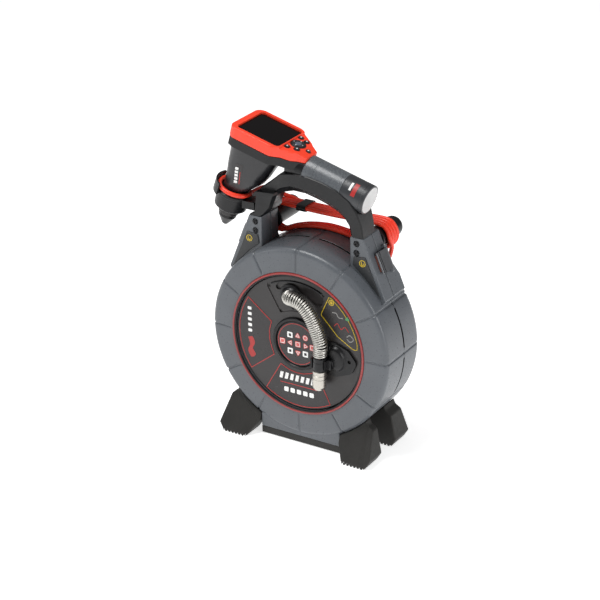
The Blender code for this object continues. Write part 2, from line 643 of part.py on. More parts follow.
def display_bezel(display):
    """Coloured top shell with a window for the screen and pockets for the keys."""
    obj = build("display_bezel", prism(display_outline(), -16, 2, "XY"), ORANGE, display, True)
    step = helper("key_step", block((39.8, -60, -1), (100, 60, 9)), display, True)
    boolean(obj, step, "DIFFERENCE")
    slope = prism([(62.5, -1), (92, -10.2), (92, 9), (62.5, 9)], -60, 60)
    boolean(obj, helper("grip_slope", slope, display, True), "DIFFERENCE")
    window = prism(rectangle(-38.0, -37.0, 38.2, 37.0, 6), -20, 6, "XY")
    boolean(obj, helper("bezel_window", window, display, True), "DIFFERENCE")
    for name, (x, y, top) in list(KEYS.items()) + [("direction_pad", PAD)]:
        radius = (PAD_R if name == "direction_pad" else KEY_R) + 0.4
        floor = top - POCKET_DEPTH
        pocket = turned([(0, floor), (radius, floor), (radius, 6), (0, 6)][::-1], 16,
                        Matrix.Translation(Vector((x, y, 0)) * MM))
        boolean(obj, helper(f"{name}_pocket", pocket, display, True), "DIFFERENCE")
    return obj


def display_body(display):
    """Black lower shell: a tray under the bezel and a round collar that the grip starts from."""
    obj = build("display_body", prism(display_outline(), -30, -16 - GAP, "XY"), BLACK, display, True)
    collar = turned([(0, 0), (GRIP_R - 0.4, 0), (GRIP_R - 0.4, 30 - GAP), (0, 30 - GAP)][::-1], 24,
                    along((GRIP_START - 30, 0, -GRIP_DROP), (1, 0, 0)))
    collar = helper("grip_collar", collar, display, True)
    above = helper("above_bezel_line", block((40, -40, -16 - GAP), (100, 40, 10)), display, True)
    boolean(collar, above, "DIFFERENCE")
    boolean(obj, collar, "UNION")
    tray = helper("tray_room", prism(rounded([(-43, -39, 8), (30, -39, 8), (56, -21, 6), (72, -16, 4),
                                             (72, 16, 4), (56, 21, 6), (30, 39, 8), (-43, 39, 8)], 2),
                                    -26, 0, "XY"), display, True)
    return boolean(obj, tray, "DIFFERENCE")


def screen(display):
    glass = prism(rectangle(-37.7, -36.7, 37.9, 36.7, 5.7), -3.0, -0.8, "XY")
    build("screen_glass", glass, BLACK, display, True)
    panel = prism(rectangle(-35, -34, 35, 34, 3), -14.0, -3.3, "XY")
    build("lcd_panel", panel, STEEL, display, True)
    board = prism(rectangle(-38, -18, 54, 18, 3), -22, -20.4, "XY")
    build("circuit_board", board, ((0.02, 0.16, 0.06), 0.5), display, True)


def keys(display):
    """Round keys and a direction pad, each free to sink into its pocket."""
    for name, (x, y, top) in KEYS.items():
        profile = [(0, top - KEY_HEIGHT), (KEY_R, top - KEY_HEIGHT), (KEY_R, top - 0.8),
                   (KEY_R - 0.9, top), (0, top)][::-1]
        bm = turned(profile, 12, Matrix.Translation(Vector((x, y, 0)) * MM))
        build(name, bm, DARK, display, True)
    x, y, top = PAD
    profile = [(0, top - KEY_HEIGHT), (PAD_R, top - KEY_HEIGHT), (PAD_R, top - 0.6), (PAD_R - 1.2, top + 0.4),
               (5.0, top - 0.3), (3.4, top + 0.5), (0, top + 0.7)][::-1]
    bm = turned(profile, 20, Matrix.Translation(Vector((x, y, 0)) * MM))
    build("direction_pad", bm, DARK, display, True)


def grip_shell(display):
    """Tube that the hand holds, open at its far end for the battery pack."""
    start = GRIP_START
    profile = [(GRIP_R, start), (GRIP_R, GRIP_SPLIT - GAP), (20.6, GRIP_SPLIT - GAP),
               (20.6, start + 4), (0, start + 4), (0, start)]
    return build("grip_shell", turned(profile, 28, along((0, 0, -GRIP_DROP), (1, 0, 0))), GREY,
                 display, True)


def battery_pack(display):
    """Pack with a core inside the grip and a full-width head that ends the grip."""
    start = GRIP_START + 18
    profile = [(0, start), (20, start), (20, GRIP_SPLIT), (GRIP_R, GRIP_SPLIT),
               (GRIP_R, GRIP_END - 2), (GRIP_R - 1.6, GRIP_END), (0, GRIP_END)][::-1]
    return build("battery_pack", turned(profile, 28, along((0, 0, -GRIP_DROP), (1, 0, 0))), GREY,
                 display, True)


def signed_power(value, power):
    return abs(value) ** power * (1 if value > 0 else -1)


def display_snout(dock, display_turn, dock_turn):
    """Tapered nose under the screen end, whose neck stands in the dock's cup."""
    normal = dock_turn.inverted() @ (display_turn @ Vector((0, 0, 1)))
    floor_point = dock_turn.inverted() @ (DISPLAY_ORIGIN + display_turn @ Vector((0, 0, -30.0 - GAP))
                                          - DOCK_ORIGIN)
    sections = []
    widths = ((-24, -NECK_R, NECK_R, NECK_R), (3, -NECK_R, NECK_R, NECK_R), (10, -19, 22, 20.5),
              (20, -19, 31.5, 21.5), (32, -20, 41, 23), (48, -22, 48, 26), (None, -26, 62, 30))
    for height, left_x, right_x, half_y in widths:
        power = 1.0 if height is not None and height <= 3 else 0.75
        section = []
        for k in range(20):
            angle = 2 * pi * (k + 0.5) / 20
            x = (left_x + right_x) / 2 + (right_x - left_x) / 2 * signed_power(cos(angle), power)
            y = half_y * signed_power(sin(angle), power)
            z = height
            if z is None:
                across = normal.x * (x - floor_point.x) + normal.y * (y - floor_point.y)
                z = floor_point.z - across / normal.z
            section.append((x, y, z))
        sections.append(section)
    return build("display_snout", loft(sections), GREY, dock, True)


def dock_cup(dock):
    """Cup that the neck stands in, with a lug to the handle's left leg and a guard for the lead."""
    profile = [(CUP_R - 1, 0), (CUP_R + 1, -2), (CUP_R + 1, -6), (CUP_R, -7), (CUP_R - 1.5, -30),
               (CUP_R - 6, -34), (0, -34), (0, -28), (NECK_R + 0.7, -28), (NECK_R + 0.7, -3),
               (CUP_R - 3, 0)]
    obj = build("dock_cup", turned(profile, 28), BLACK, dock, True)
    lug = helper("dock_lug", block((-116, -31, 371.5), (-93.5, -2, 384)))
    boolean(obj, lug, "UNION")
    guard = arc((0, 0), 34.0, 158, 245, 8) + arc((0, 0), 31.0, 245, 158, 8)
    boolean(obj, helper("guard_wall", prism(guard, -7.5, 12, "XY"), dock, True), "UNION")
    shelf = arc((0, 0), 33.2, 160, 243, 8) + arc((0, 0), 26.0, 243, 160, 8)
    boolean(obj, helper("guard_shelf", prism(shelf, -6.7, -2.8, "XY"), dock, True), "UNION")
    bore = turned([(0, -28), (NECK_R + 0.7, -28), (NECK_R + 0.7, 10), (0, 10)][::-1], 28)
    return boolean(obj, helper("neck_bore", bore, dock, True), "DIFFERENCE")


def connector(dock):
    collar = [(9.6, -35), (15.2, -35), (16, -36), (16, -43), (15.2, -44), (9.6, -44)]
    build("connector_collar", turned(collar, 20), DARK, dock, True)
    plug = [(0, -34.6), (9, -34.6), (9, -44.6), (14.4, -44.6), (14.4, -49), (5, -65), (3, -66), (0, -66)]
    obj = build("cable_connector", turned(plug, 20), BLACK, dock, True)
    outlet = turned([(0, 0), (6.5, 0), (4.6, 17), (0, 17)][::-1], 12, along((0, 5, -52), (0, 1, 0)))
    return boolean(obj, helper("connector_outlet", outlet, dock, True), "UNION")


# ---------------------------------------------------------------- lead

GLAND_AXIS = Vector((0.6, 0, 0.8))
GLAND_START = Vector((0, 52, AXLE_Z)) + GLAND_AXIS * 40.5


def lead_route(dock_turn):
    """Middle line of the lead: hub, four passes round the right peg, three round the left, dock."""
    loop_r = PEG_R + LEAD_R + 1.6
    pitch, first_y = 7.6, 28.0
    rest_r = HOUSING_R + LEAD_R + 0.9
    points = [GLAND_START + GLAND_AXIS * reach for reach in (16.6, 24)]
    points += [Vector(p) for p in ((58, 52, 252), (82, 51.5, 278), (100, 49, 303), (111, 39, 328))]
    for turn in range(4):
        y = first_y + pitch * turn
        for a in ((0, 40, 80) if turn == 0 else (-80, -40, 0, 40, 80)):
            points.append(Vector((PEG_X + loop_r * cos(radians(a)), y, PEG_Z + loop_r * sin(radians(a)))))
        top = PEG_Z + loop_r
        points += [Vector((x, y, top - sag)) for x, sag in ((60, 0.8), (20, 1.8), (-20, 1.8), (-60, 0.8))]
        if turn == 3:
            break
        for a in (100, 140, 180, 220, 260):
            points.append(Vector((-PEG_X + loop_r * cos(radians(a)), y, PEG_Z + loop_r * sin(radians(a)))))
        low_y = 23.5 + pitch * turn
        radius = rest_r - (0 if turn < 2 else 2.0)
        for x in (-79, -56, -30, 0, 30, 56, 79):
            part = (x + 92) / 184
            ahead = low_y if abs(x) <= 30 else (low_y + y) / 2
            dip = 0.0 if abs(x) < 79 else 1.2
            points.append(Vector((x, ahead + pitch * part, AXLE_Z + sqrt(radius ** 2 - x * x) + dip)))
    points += [Vector(p) for p in ((-73, 49.5, 369), (-89, 42, 376), (-101, 31, 384), (-107, 18, 391))]
    ring_r, ring_z = 26.4, 4.2
    for a in (20, 0, -30, -60, -90, -120, -150, -180, -200):
        local = Vector((ring_r * cos(radians(a)), ring_r * sin(radians(a)), ring_z))
        points.append(DOCK_ORIGIN + dock_turn @ local)
    for local in ((-20.8, 20.5, 4.0), (-20, 30.5, -1), (-17, 39, -11), (-12, 44, -24), (-6.5, 45, -36.5),
                  (-2, 41, -47.5), (0, 33, -52), (0, 23.2, -52)):
        points.append(DOCK_ORIGIN + dock_turn @ Vector(local))
    return points


def lead(dock_turn):
    tube("system_cable", smooth_route(lead_route(dock_turn), 8.0, 28.0), LEAD_R, ORANGE)
    gland = turned([(0, 0), (6, 0), (6, 3), (4.6, 16), (0, 16)][::-1], 20, along(GLAND_START, GLAND_AXIS))
    build("cable_gland", gland, BLACK)
    strap_x = -43.0
    top = PEG_Z + PEG_R + LEAD_R + 1.6 - 1.4
    band = rectangle(22.6, top - 5.4, 56.4, top + 5.4, 4.6, 2)
    room = rectangle(24.0, top - 4.2, 55.0, top + 4.2, 3.6, 2)
    strap = build("cable_strap", prism(band, strap_x - 8, strap_x + 8, "YZ"), BLACK)
    boolean(strap, helper("strap_room", prism(room, strap_x - 20, strap_x + 20, "YZ")), "DIFFERENCE")


# ---------------------------------------------------------------- assembly

def main():
    clear_scene()
    display_turn = Matrix.Rotation(radians(DISPLAY_TILT), 3, "Y")
    dock_turn = Matrix.Rotation(radians(DOCK_TILT), 3, "Y")
    cover = empty("cover_axis", (0, PART_Y, HINGE_Z))
    drum = empty("drum_axis", (0, 0, AXLE_Z))
    display = empty("display_frame", DISPLAY_ORIGIN, display_turn)
    dock = empty("dock_frame", DOCK_ORIGIN, dock_turn)

    front_housing(cover)
    front_ring(cover)
    rear_housing()
    hinge_pin()
    base_leaf("front_base", (FRONT_Y + 5, PART_Y - 6.5), ((-60, -20.3), (20.3, 60)), cover)
    base_leaf("rear_base", (PART_Y + 9.5, REAR_SHOULDER_Y - 2), ((-19.7, 19.7),), None)
    for side, word in ((-1, "left"), (1, "right")):
        foot(f"{word}_front_foot", side, -85.0, -41.0, cover, 1.0)
        foot(f"{word}_rear_foot", side, 47.0, 2.0, None, -0.4)
        post_panel(side, word, cover)
        ear_screw(side, word, "upper", 355.0, cover)
        ear_screw(side, word, "lower", 340.0, cover)
        peg(side, word)
        latch(side, word)
        latch_keeper(side, word, cover)

    carry_handle(display)
    drum_face(drum)
    drum_bowl(drum)
    drum_bush(drum)
    drum_axle()
    slip_ring_cover()
    push_cable_coil(drum)
    keypad(drum)
    camera(drum)
    spring_guide(drum)
    camera_clip(drum)

    display_bezel(display)
    display_body(display)
    screen(display)
    keys(display)
    grip_shell(display)
    battery_pack(display)
    display_snout(dock, display_turn, dock_turn)
    dock_cup(dock)
    connector(dock)
    lead(dock_turn)
    for obj in bpy.data.objects:
        if obj.parent is None:
            obj.matrix_basis = Matrix.Translation(BOX_SHIFT * MM) @ obj.matrix_basis


main()
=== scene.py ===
"""Looks of the drain inspection camera reel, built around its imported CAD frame.

Shapes are written in millimetres and made in metres, in the frame of the CAD model: Z up,
the reel's face towards -Y, its axle along Y at a height of AXLE_Z.
"""
import json
from math import acos, cos, pi, radians, sin, sqrt

import bmesh
import bpy
from mathutils import Matrix, Vector
from mathutils.bvhtree import BVHTree

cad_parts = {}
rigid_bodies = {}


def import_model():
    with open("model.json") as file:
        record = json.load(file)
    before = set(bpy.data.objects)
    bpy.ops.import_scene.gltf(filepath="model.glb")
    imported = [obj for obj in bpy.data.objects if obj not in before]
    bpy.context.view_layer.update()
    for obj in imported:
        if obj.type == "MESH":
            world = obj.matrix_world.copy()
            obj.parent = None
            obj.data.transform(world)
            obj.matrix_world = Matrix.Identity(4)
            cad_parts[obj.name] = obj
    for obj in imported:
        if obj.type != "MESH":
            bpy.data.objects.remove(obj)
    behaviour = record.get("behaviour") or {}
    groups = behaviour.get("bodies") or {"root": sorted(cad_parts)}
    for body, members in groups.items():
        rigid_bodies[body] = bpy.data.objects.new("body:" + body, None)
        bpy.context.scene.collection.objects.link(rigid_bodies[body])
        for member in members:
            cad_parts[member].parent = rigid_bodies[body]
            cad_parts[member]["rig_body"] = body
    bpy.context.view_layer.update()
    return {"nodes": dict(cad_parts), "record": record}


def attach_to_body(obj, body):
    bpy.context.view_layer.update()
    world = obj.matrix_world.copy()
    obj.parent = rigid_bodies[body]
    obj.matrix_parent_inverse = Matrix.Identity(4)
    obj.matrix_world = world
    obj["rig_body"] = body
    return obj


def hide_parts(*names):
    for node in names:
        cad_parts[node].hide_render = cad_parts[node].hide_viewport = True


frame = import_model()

MM = 0.001

# Shapes are drawn round the drum's axle, then moved by this much, as in the CAD model.
BOX_SHIFT = Vector((6.1, 0.5, 0.0))

HOUSING_R, AXLE_Z, FRONT_Y, BACK_Y, PART_Y, GAP = 159.0, 178.0, -63.0, 45.0, -7.0, 0.3
OPENING_R, RING_OUTER_R, FACE_R, FACE_Y = 113.8, 119.5, 112.8, -60.0
EAR_FRONT_Y, EAR_BACK_Y, PEG_R, LEAD_R = -33.0, 15.0, 16.5, 3.5
PEG_X, PEG_Z, BOWL_R = 92.0, 345.0, 148.0
DISPLAY_ORIGIN, DISPLAY_TILT = Vector((-70.0, -16.5, 503.0)), 15.5
DOCK_ORIGIN, DOCK_TILT = Vector((-136.5, -16.5, 395.0)), 20.0
GRIP_R, GRIP_DROP, GRIP_START, GRIP_SPLIT, GRIP_END = 23.5, 31.0, 80.0, 148.0, 190.0

DISPLAY = Matrix.Translation(DISPLAY_ORIGIN * MM) @ Matrix.Rotation(radians(DISPLAY_TILT), 4, "Y")

RECORD = frame["record"]
BODY_OF = {node: body for body, nodes in RECORD["behaviour"]["bodies"].items() for node in nodes}
SIDES = ((-1, "left"), (1, "right"))


# ---- camera, light and floor

def place_camera():
    azimuth, elevation, roll = radians(32.20), radians(24.96), radians(-1.18)
    distance, target = 3.1337, Vector((-0.0722, 0.063, 0.186)) + BOX_SHIFT * MM
    back = Vector((sin(azimuth) * cos(elevation), -cos(azimuth) * cos(elevation), sin(elevation)))
    level = Vector((cos(azimuth), sin(azimuth), 0))
    upright = back.cross(level)
    right = level * cos(roll) + upright * sin(roll)
    up = upright * cos(roll) - level * sin(roll)
    data = bpy.data.cameras.new("camera")
    data.lens, data.sensor_width = 116.28, 36.0
    data.clip_start, data.clip_end = 0.05, 60.0
    camera = bpy.data.objects.new("camera", data)
    turn = Matrix((right, up, back)).transposed().to_4x4()
    camera.matrix_world = Matrix.Translation(target + back * distance) @ turn
    bpy.context.scene.collection.objects.link(camera)
    bpy.context.scene.camera = camera


def area_light(name, place, aim, size, power):
    data = bpy.data.lights.new(name, "AREA")
    data.shape = "RECTANGLE"
    data.size, data.size_y = size
    data.energy = power
    light = bpy.data.objects.new(name, data)
    light.location = place
    light.rotation_euler = (Vector(place) - Vector(aim)).to_track_quat("Z", "Y").to_euler()
    bpy.context.scene.collection.objects.link(light)


def studio():
    world = bpy.data.worlds.new("studio")
    world.use_nodes = True
    world.node_tree.nodes["Background"].inputs["Color"].default_value = (1, 1, 1, 1)
    world.node_tree.nodes["Background"].inputs["Strength"].default_value = 0.22
    bpy.context.scene.world = world
    bpy.context.scene.view_settings.view_transform = "Standard"
    middle = (0, 0, 0.25)
    area_light("top_light", (-0.5, -0.6, 2.3), middle, (1.1, 1.1), 36)
    area_light("side_light", (2.2, -0.3, 0.9), middle, (0.5, 1.5), 17)
    area_light("front_light", (-2.0, -1.8, 1.2), middle, (0.8, 1.4), 9)
    reach = 30.0
    mesh = bpy.data.meshes.new("floor")
    mesh.from_pydata([(-reach, -reach, 0), (reach, -reach, 0), (reach, reach, 0), (-reach, reach, 0)],
                     [], [(0, 1, 2, 3)])
    paper = finish("floor_paper", (0.93, 0.93, 0.93), 0.9, tint=0.005, depth=0.0, wear=0)
    shader = paper.node_tree.nodes["Principled BSDF"]
    shader.inputs["Emission Color"].default_value = (1, 1, 1, 1)
    shader.inputs["Emission Strength"].default_value = 0.68
    mesh.materials.append(paper)
    floor = bpy.data.objects.new("floor", mesh)
    bpy.context.scene.collection.objects.link(floor)


# ---- materials

RUBBED_EDGE = 1.2


def shade(red, green, blue):
    """Scene-linear colour from display values of 0 to 255."""
    return tuple(((c / 255 + 0.055) / 1.055) ** 2.4 for c in (red, green, blue))


def finish(name, colour, rough, metallic=0.0, grain=0.5, depth=0.03, tint=0.08, wear=0.35,
           coat=0.0, specular=0.5, spread=0.07):
    """A surface with grain, blotchy tint and roughness, and rubbed edges.

    Grain is the size of its bumps and depth their height, in mm. Tint, wear and spread are how much
    the colour, the rubbed edges and the roughness vary.
    """
    mat = bpy.data.materials.new(name)
    mat.use_nodes = True
    nodes, links = mat.node_tree.nodes, mat.node_tree.links
    shader = nodes["Principled BSDF"]
    shader.inputs["Metallic"].default_value = metallic
    shader.inputs["Specular IOR Level"].default_value = specular
    shader.inputs["Coat Weight"].default_value = coat
    shader.inputs["Coat Roughness"].default_value = 0.12

    def add(kind, settings=(), **values):
        made = nodes.new(kind)
        for key, value in dict(settings).items():
            setattr(made, key, value)
        for key, value in values.items():
            made.inputs[key.replace("_", " ")].default_value = value
        return made

    def span(source, low, high, to_low, to_high):
        ranged = add("ShaderNodeMapRange", From_Min=low, From_Max=high, To_Min=to_low, To_Max=to_high)
        links.new(source, ranged.inputs["Value"])
        return ranged.outputs["Result"]

    def blend_colours(factor, first, second):
        mix = add("ShaderNodeMix", {"data_type": "RGBA"})
        links.new(factor, mix.inputs[0])
        for socket, value in ((mix.inputs[6], first), (mix.inputs[7], second)):
            if isinstance(value, tuple):
                socket.default_value = (*value, 1)
            else:
                links.new(value, socket)
        return mix.outputs[2]

    place = add("ShaderNodeTexCoord").outputs["Object"]

    def noise(scale, detail, roughness=0.5):
        made = add("ShaderNodeTexNoise", Scale=scale, Detail=detail, Roughness=roughness)
        links.new(place, made.inputs["Vector"])
        return made.outputs["Fac"]

    blotch, scuff, fine = noise(22.0, 4.0, 0.6), noise(260.0, 3.0, 0.65), noise(1 / (grain * MM), 2.0)
    dark, light = tuple(c * (1 - tint) for c in colour), tuple(min(1, c * (1 + tint)) for c in colour)
    base = blend_colours(span(blotch, 0.35, 0.65, 0, 1), dark, light)
    if wear > 0:
        rounded_normal = add("ShaderNodeBevel", {"samples": 4}, Radius=RUBBED_EDGE * MM)
        true_normal = add("ShaderNodeNewGeometry").outputs["Normal"]
        facing = add("ShaderNodeVectorMath", {"operation": "DOT_PRODUCT"})
        links.new(rounded_normal.outputs["Normal"], facing.inputs[0])
        links.new(true_normal, facing.inputs[1])
        rubbed = add("ShaderNodeMath", {"operation": "MULTIPLY"})
        links.new(span(facing.outputs["Value"], 0.995, 0.86, 0, wear), rubbed.inputs[0])
        links.new(span(scuff, 0.38, 0.62, 0.25, 1), rubbed.inputs[1])
        worn = tuple(min(1, c * 1.6 + 0.05) for c in colour)
        base = blend_colours(rubbed.outputs["Value"], base, worn)
    links.new(base, shader.inputs["Base Color"])
    smooth, coarse = max(0.02, rough - spread), min(1, rough + spread)
    links.new(span(scuff, 0.3, 0.7, smooth, coarse), shader.inputs["Roughness"])
    if depth > 0:
        bump = add("ShaderNodeBump", Strength=0.6, Distance=depth * MM)
        links.new(fine, bump.inputs["Height"])
        links.new(bump.outputs["Normal"], shader.inputs["Normal"])
    return mat


def printed(name, colour, tint=0.05):
    return finish(name, colour, 0.4, grain=0.4, depth=0.01, tint=tint, wear=0)


# ---- mesh helpers

def turned(profile, steps, place=None):
    """A solid of revolution about Z: (radius, height) points, closed unless both ends are on the axis."""
    bm = bmesh.new()
    points = [bm.verts.new((r * MM, 0, h * MM)) for r, h in profile]
    pairs = list(zip(points, points[1:]))
    if profile[0][0] > 0 or profile[-1][0] > 0:
        pairs.append((points[-1], points[0]))
    edges = [bm.edges.new(pair) for pair in pairs]
    bmesh.ops.spin(bm, geom=points + edges, axis=(0, 0, 1), cent=(0, 0, 0), angle=2 * pi, steps=steps)
    return tidy(bm, place)


def measured_from(start, points):
    """The (radius, height) points with their heights measured from the start."""
    return [(radius, start + height) for radius, height in points]


def cylinder(radius, low, high, steps, place=None):
    return turned([(0, low), (radius, low), (radius, high), (0, high)], steps, place)


def tidy(bm, place=None):
    """The mesh with its doubled points merged and its faces turned outwards, moved to its place."""
    bmesh.ops.remove_doubles(bm, verts=bm.verts, dist=2e-6)
    bmesh.ops.recalc_face_normals(bm, faces=bm.faces)
    if place:
        bmesh.ops.transform(bm, matrix=place, verts=bm.verts)
    return bm


def prism(outline, low, high, plane="XZ", place=None):
    """An outline carried from low to high along the axis that its plane leaves out."""
    order = {"XZ": lambda a, b, c: (a, c, b), "XY": lambda a, b, c: (a, b, c),
             "YZ": lambda a, b, c: (c, a, b)}[plane]
    return loft([[order(a, b, c) for a, b in outline] for c in (low, high)], place)


def loft(sections, place=None, closed=False):
    """Skins rings of points with the same number of points, and caps both ends unless they close."""
    bm = bmesh.new()
    rings = [[bm.verts.new(Vector(point) * MM) for point in section] for section in sections]
    pairs = list(zip(rings, rings[1:])) + ([(rings[-1], rings[0])] if closed else [])
    for first, second in pairs:
        for i in range(len(first)):
            j = (i + 1) % len(first)
            bm.faces.new((first[i], first[j], second[j], second[i]))
    if not closed:
        bm.faces.new(rings[0])
        bm.faces.new(rings[-1])
    return tidy(bm, place)


def rounded(corners, steps=4):
    """An outline with each (x, y, radius) corner rounded by an arc. An (x, y) corner stays sharp."""
    outline = []
    for i, (x, y, *radii) in enumerate(corners):
        here = Vector((x, y))
        if not radii:
            outline.append((x, y))
            continue
        radius = radii[0]
        before = (Vector(corners[i - 1][:2]) - here).normalized()
        after = (Vector(corners[(i + 1) % len(corners)][:2]) - here).normalized()
        half = acos(max(-1.0, min(1.0, before.dot(after)))) / 2
        centre = here + (before + after).normalized() * radius / sin(half)
        start = here + before * radius * cos(half) / sin(half) - centre
        end = here + after * radius * cos(half) / sin(half) - centre
        for k in range(steps + 1):
            outline.append(tuple(centre + start.lerp(end, k / steps).normalized() * radius))
    return outline


def rectangle(x0, y0, x1, y1, radius, steps=4):
    return rounded([(x0, y0, radius), (x1, y0, radius), (x1, y1, radius), (x0, y1, radius)], steps)


def polar(radius, angle, centre=(0, AXLE_Z)):
    """The place at that radius and angle in degrees round the centre, which is the axle unless given."""
    return (centre[0] + radius * cos(radians(angle)), centre[1] + radius * sin(radians(angle)))


def arc(centre, radius, start, end, steps):
    return [polar(radius, start + (end - start) * k / steps, centre) for k in range(steps + 1)]


def disc(centre, radius):
    return arc(centre, radius, 0, 345, 23)


def box(x0, y0, z0, x1, y1, z1, place=None):
    return prism([(x0, y0), (x1, y0), (x1, y1), (x0, y1)], z0, z1, "XY", place)


def moved(*place):
    return Matrix.Translation(Vector(place) * MM)


def along_y(centre_x=0.0, centre_z=AXLE_Z):
    """Turns a shape made round Z so that it lies along Y through (centre_x, centre_z)."""
    return moved(centre_x, 0, centre_z) @ Matrix.Rotation(-pi / 2, 4, "X")


def along(start, direction):
    """Turns a shape made round Z so that it starts there and points that way."""
    return moved(*start) @ Vector((0, 0, 1)).rotation_difference(Vector(direction)).to_matrix().to_4x4()


def made_of(bm):
    mesh = bpy.data.meshes.new("made")
    bm.to_mesh(mesh)
    bm.free()
    obj = bpy.data.objects.new("made", mesh)
    bpy.context.scene.collection.objects.link(obj)
    return obj


def settled(obj, helpers=()):
    """The object's mesh with its modifiers worked in. The object and its helpers are then removed."""
    graph = bpy.context.evaluated_depsgraph_get()
    bm = bmesh.new()
    bm.from_mesh(obj.evaluated_get(graph).to_mesh())
    for gone in (obj, *helpers):
        bpy.data.objects.remove(gone, do_unlink=True)
    return bm


def combined(bm, others, operation="DIFFERENCE"):
    """The mesh with each other mesh cut away or joined."""
    obj = made_of(bm)
    helpers = [made_of(other) for other in others]
    for other in helpers:
        step = obj.modifiers.new("step", "BOOLEAN")
        step.operation, step.object, step.solver = operation, other, "EXACT"
    return settled(obj, helpers)


def softened(bm, width, segments=3, angle=30.0):
    """The mesh with its sharp edges rounded."""
    bmesh.ops.remove_doubles(bm, verts=bm.verts, dist=1e-6)
    bmesh.ops.dissolve_limit(bm, angle_limit=radians(0.6), verts=bm.verts, edges=bm.edges)
    obj = made_of(bm)
    bevel = obj.modifiers.new("bevel", "BEVEL")
    bevel.width, bevel.segments = width * MM, segments
    bevel.limit_method, bevel.angle_limit = "ANGLE", radians(angle)
    bevel.use_clamp_overlap = True
    bevel.miter_outer = "MITER_ARC"
    return settled(obj)


def sheet(outer, inner, place=None):
    """A thin closed sheet between two grids of points, which have the same rows and columns."""
    bm = bmesh.new()
    layers = [[[bm.verts.new(point * MM) for point in row] for row in grid] for grid in (outer, inner)]
    for layer in layers:
        for first, second in zip(layer, layer[1:]):
            for i in range(len(first) - 1):
                bm.faces.new((first[i], first[i + 1], second[i + 1], second[i]))
    over, under = layers
    rims = [(over[0], under[0]), (over[-1], under[-1])]
    rims += [([row[end] for row in over], [row[end] for row in under]) for end in (0, -1)]
    for a, b in rims:
        for i in range(len(a) - 1):
            bm.faces.new((a[i], a[i + 1], b[i + 1], b[i]))
    return tidy(bm, place)


def attach(obj, owner):
    """Lets the object stand for its owner, a CAD node, and ride that node's body.

    It hides the node. A detail's owner is only the body that it rides.
    """
    bpy.context.scene.collection.objects.link(obj)
    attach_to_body(obj, BODY_OF.get(owner, owner))
    if owner in BODY_OF:
        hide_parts(owner)


def piece(name, bm, mat, owner, sharp=40.0):
    """Puts the mesh in the scene as a piece of its owner, a CAD node or a body."""
    bmesh.ops.recalc_face_normals(bm, faces=bm.faces)
    bmesh.ops.translate(bm, vec=BOX_SHIFT * MM, verts=bm.verts)
    mesh = bpy.data.meshes.new(name)
    bm.to_mesh(mesh)
    bm.free()
    mesh.shade_smooth()
    mesh.set_sharp_from_angle(angle=radians(sharp))
    mesh.materials.clear()
    for each in (mat if isinstance(mat, list) else [mat]):
        mesh.materials.append(each)
    obj = bpy.data.objects.new(name, mesh)
    weighted = obj.modifiers.new("even_shading", "WEIGHTED_NORMAL")
    weighted.keep_sharp = True
    attach(obj, owner)
    return obj


def cad(node):
    """A fresh copy of a CAD node's mesh, moved to where it was drawn."""
    bm = bmesh.new()
    bm.from_mesh(frame["nodes"][node].data)
    bmesh.ops.translate(bm, vec=-BOX_SHIFT * MM, verts=bm.verts)
    bmesh.ops.remove_doubles(bm, verts=bm.verts, dist=1e-6)
    return bm


def refine(node, mat, width, segments=3):
    """The CAD node again with rounded edges and an even surface."""
    piece(f"{node}_finished", softened(cad(node), width, segments), mat, node)


def tube(name, points, radius, mat, owner, sides=4):
    """A round tube along points in mm, with its ends closed."""
    curve = bpy.data.curves.new(name, "CURVE")
    curve.dimensions = "3D"
    curve.bevel_depth, curve.bevel_resolution, curve.use_fill_caps = radius * MM, sides, True
    spline = curve.splines.new("POLY")
    spline.points.add(len(points) - 1)
    for point, spot in zip(spline.points, points):
        point.co = (*((Vector(spot) + BOX_SHIFT) * MM), 1.0)
    spline.use_smooth = True
    curve.materials.append(mat)
    attach(bpy.data.objects.new(name, curve), owner)


def flowing(points, steps=12):
    """Points along a Catmull-Rom curve through the given points."""
    points = [Vector(p) for p in points]
    padded = [points[0] * 2 - points[1]] + points + [points[-1] * 2 - points[-2]]
    dense = []
    for a, b, c, d in zip(padded, padded[1:], padded[2:], padded[3:]):
        for k in range(steps):
            t = k / steps
            dense.append(0.5 * ((2 * b) + (c - a) * t + (2 * a - 5 * b + 4 * c - d) * t * t
                                + (3 * b - 3 * c + d - a) * t ** 3))
    return dense + [points[-1]]


def evenly(points, spacing):
    """Points a fixed distance apart along the polyline, and its last point."""
    made, left = [points[0]], spacing
    for a, b in zip(points, points[1:]):
        length, walked = (b - a).length, 0.0
        while length - walked > left:
            walked += left
            made.append(a.lerp(b, walked / length))
            left = spacing
        left -= length - walked
    return made + [points[-1]]


# ---- housing

GROOVE_DEPTH, SLOT_DEPTH, SEAM_DEPTH = 1.5, 1.5, 2.6
SCREW_Z = {"upper": 355, "lower": 340}

# Ears and plinths reach into the wall as far as SINK_R, so that they join it.
SINK_R, INNER_R = HOUSING_R - 2.0, HOUSING_R - 4.0


def rim_columns():
    """Angles round the axle in degrees, each with the groove's share of its depth and the slot's."""
    sector, edge, slot_start, bridge = 30.0, 1.15, 3.2, 0.03
    groove = ((-edge, 0), (-0.7, 0.3), (-0.32, 1), (0.32, 1), (0.7, 0.3), (edge, 0))
    columns = []
    for k in range(12):
        middle = 90 + sector * k
        columns += [(middle + turn, share, bridge) for turn, share in groove]
        columns += [(middle + edge + step, 0, bridge) for step in (0.8, 1.8)]
        columns += [(middle + slot_start + (sector - 2 * slot_start) * j / 9, 0, 1) for j in range(10)]
        columns += [(middle + sector - edge - step, 0, bridge) for step in (1.8, 0.8)]
    return columns


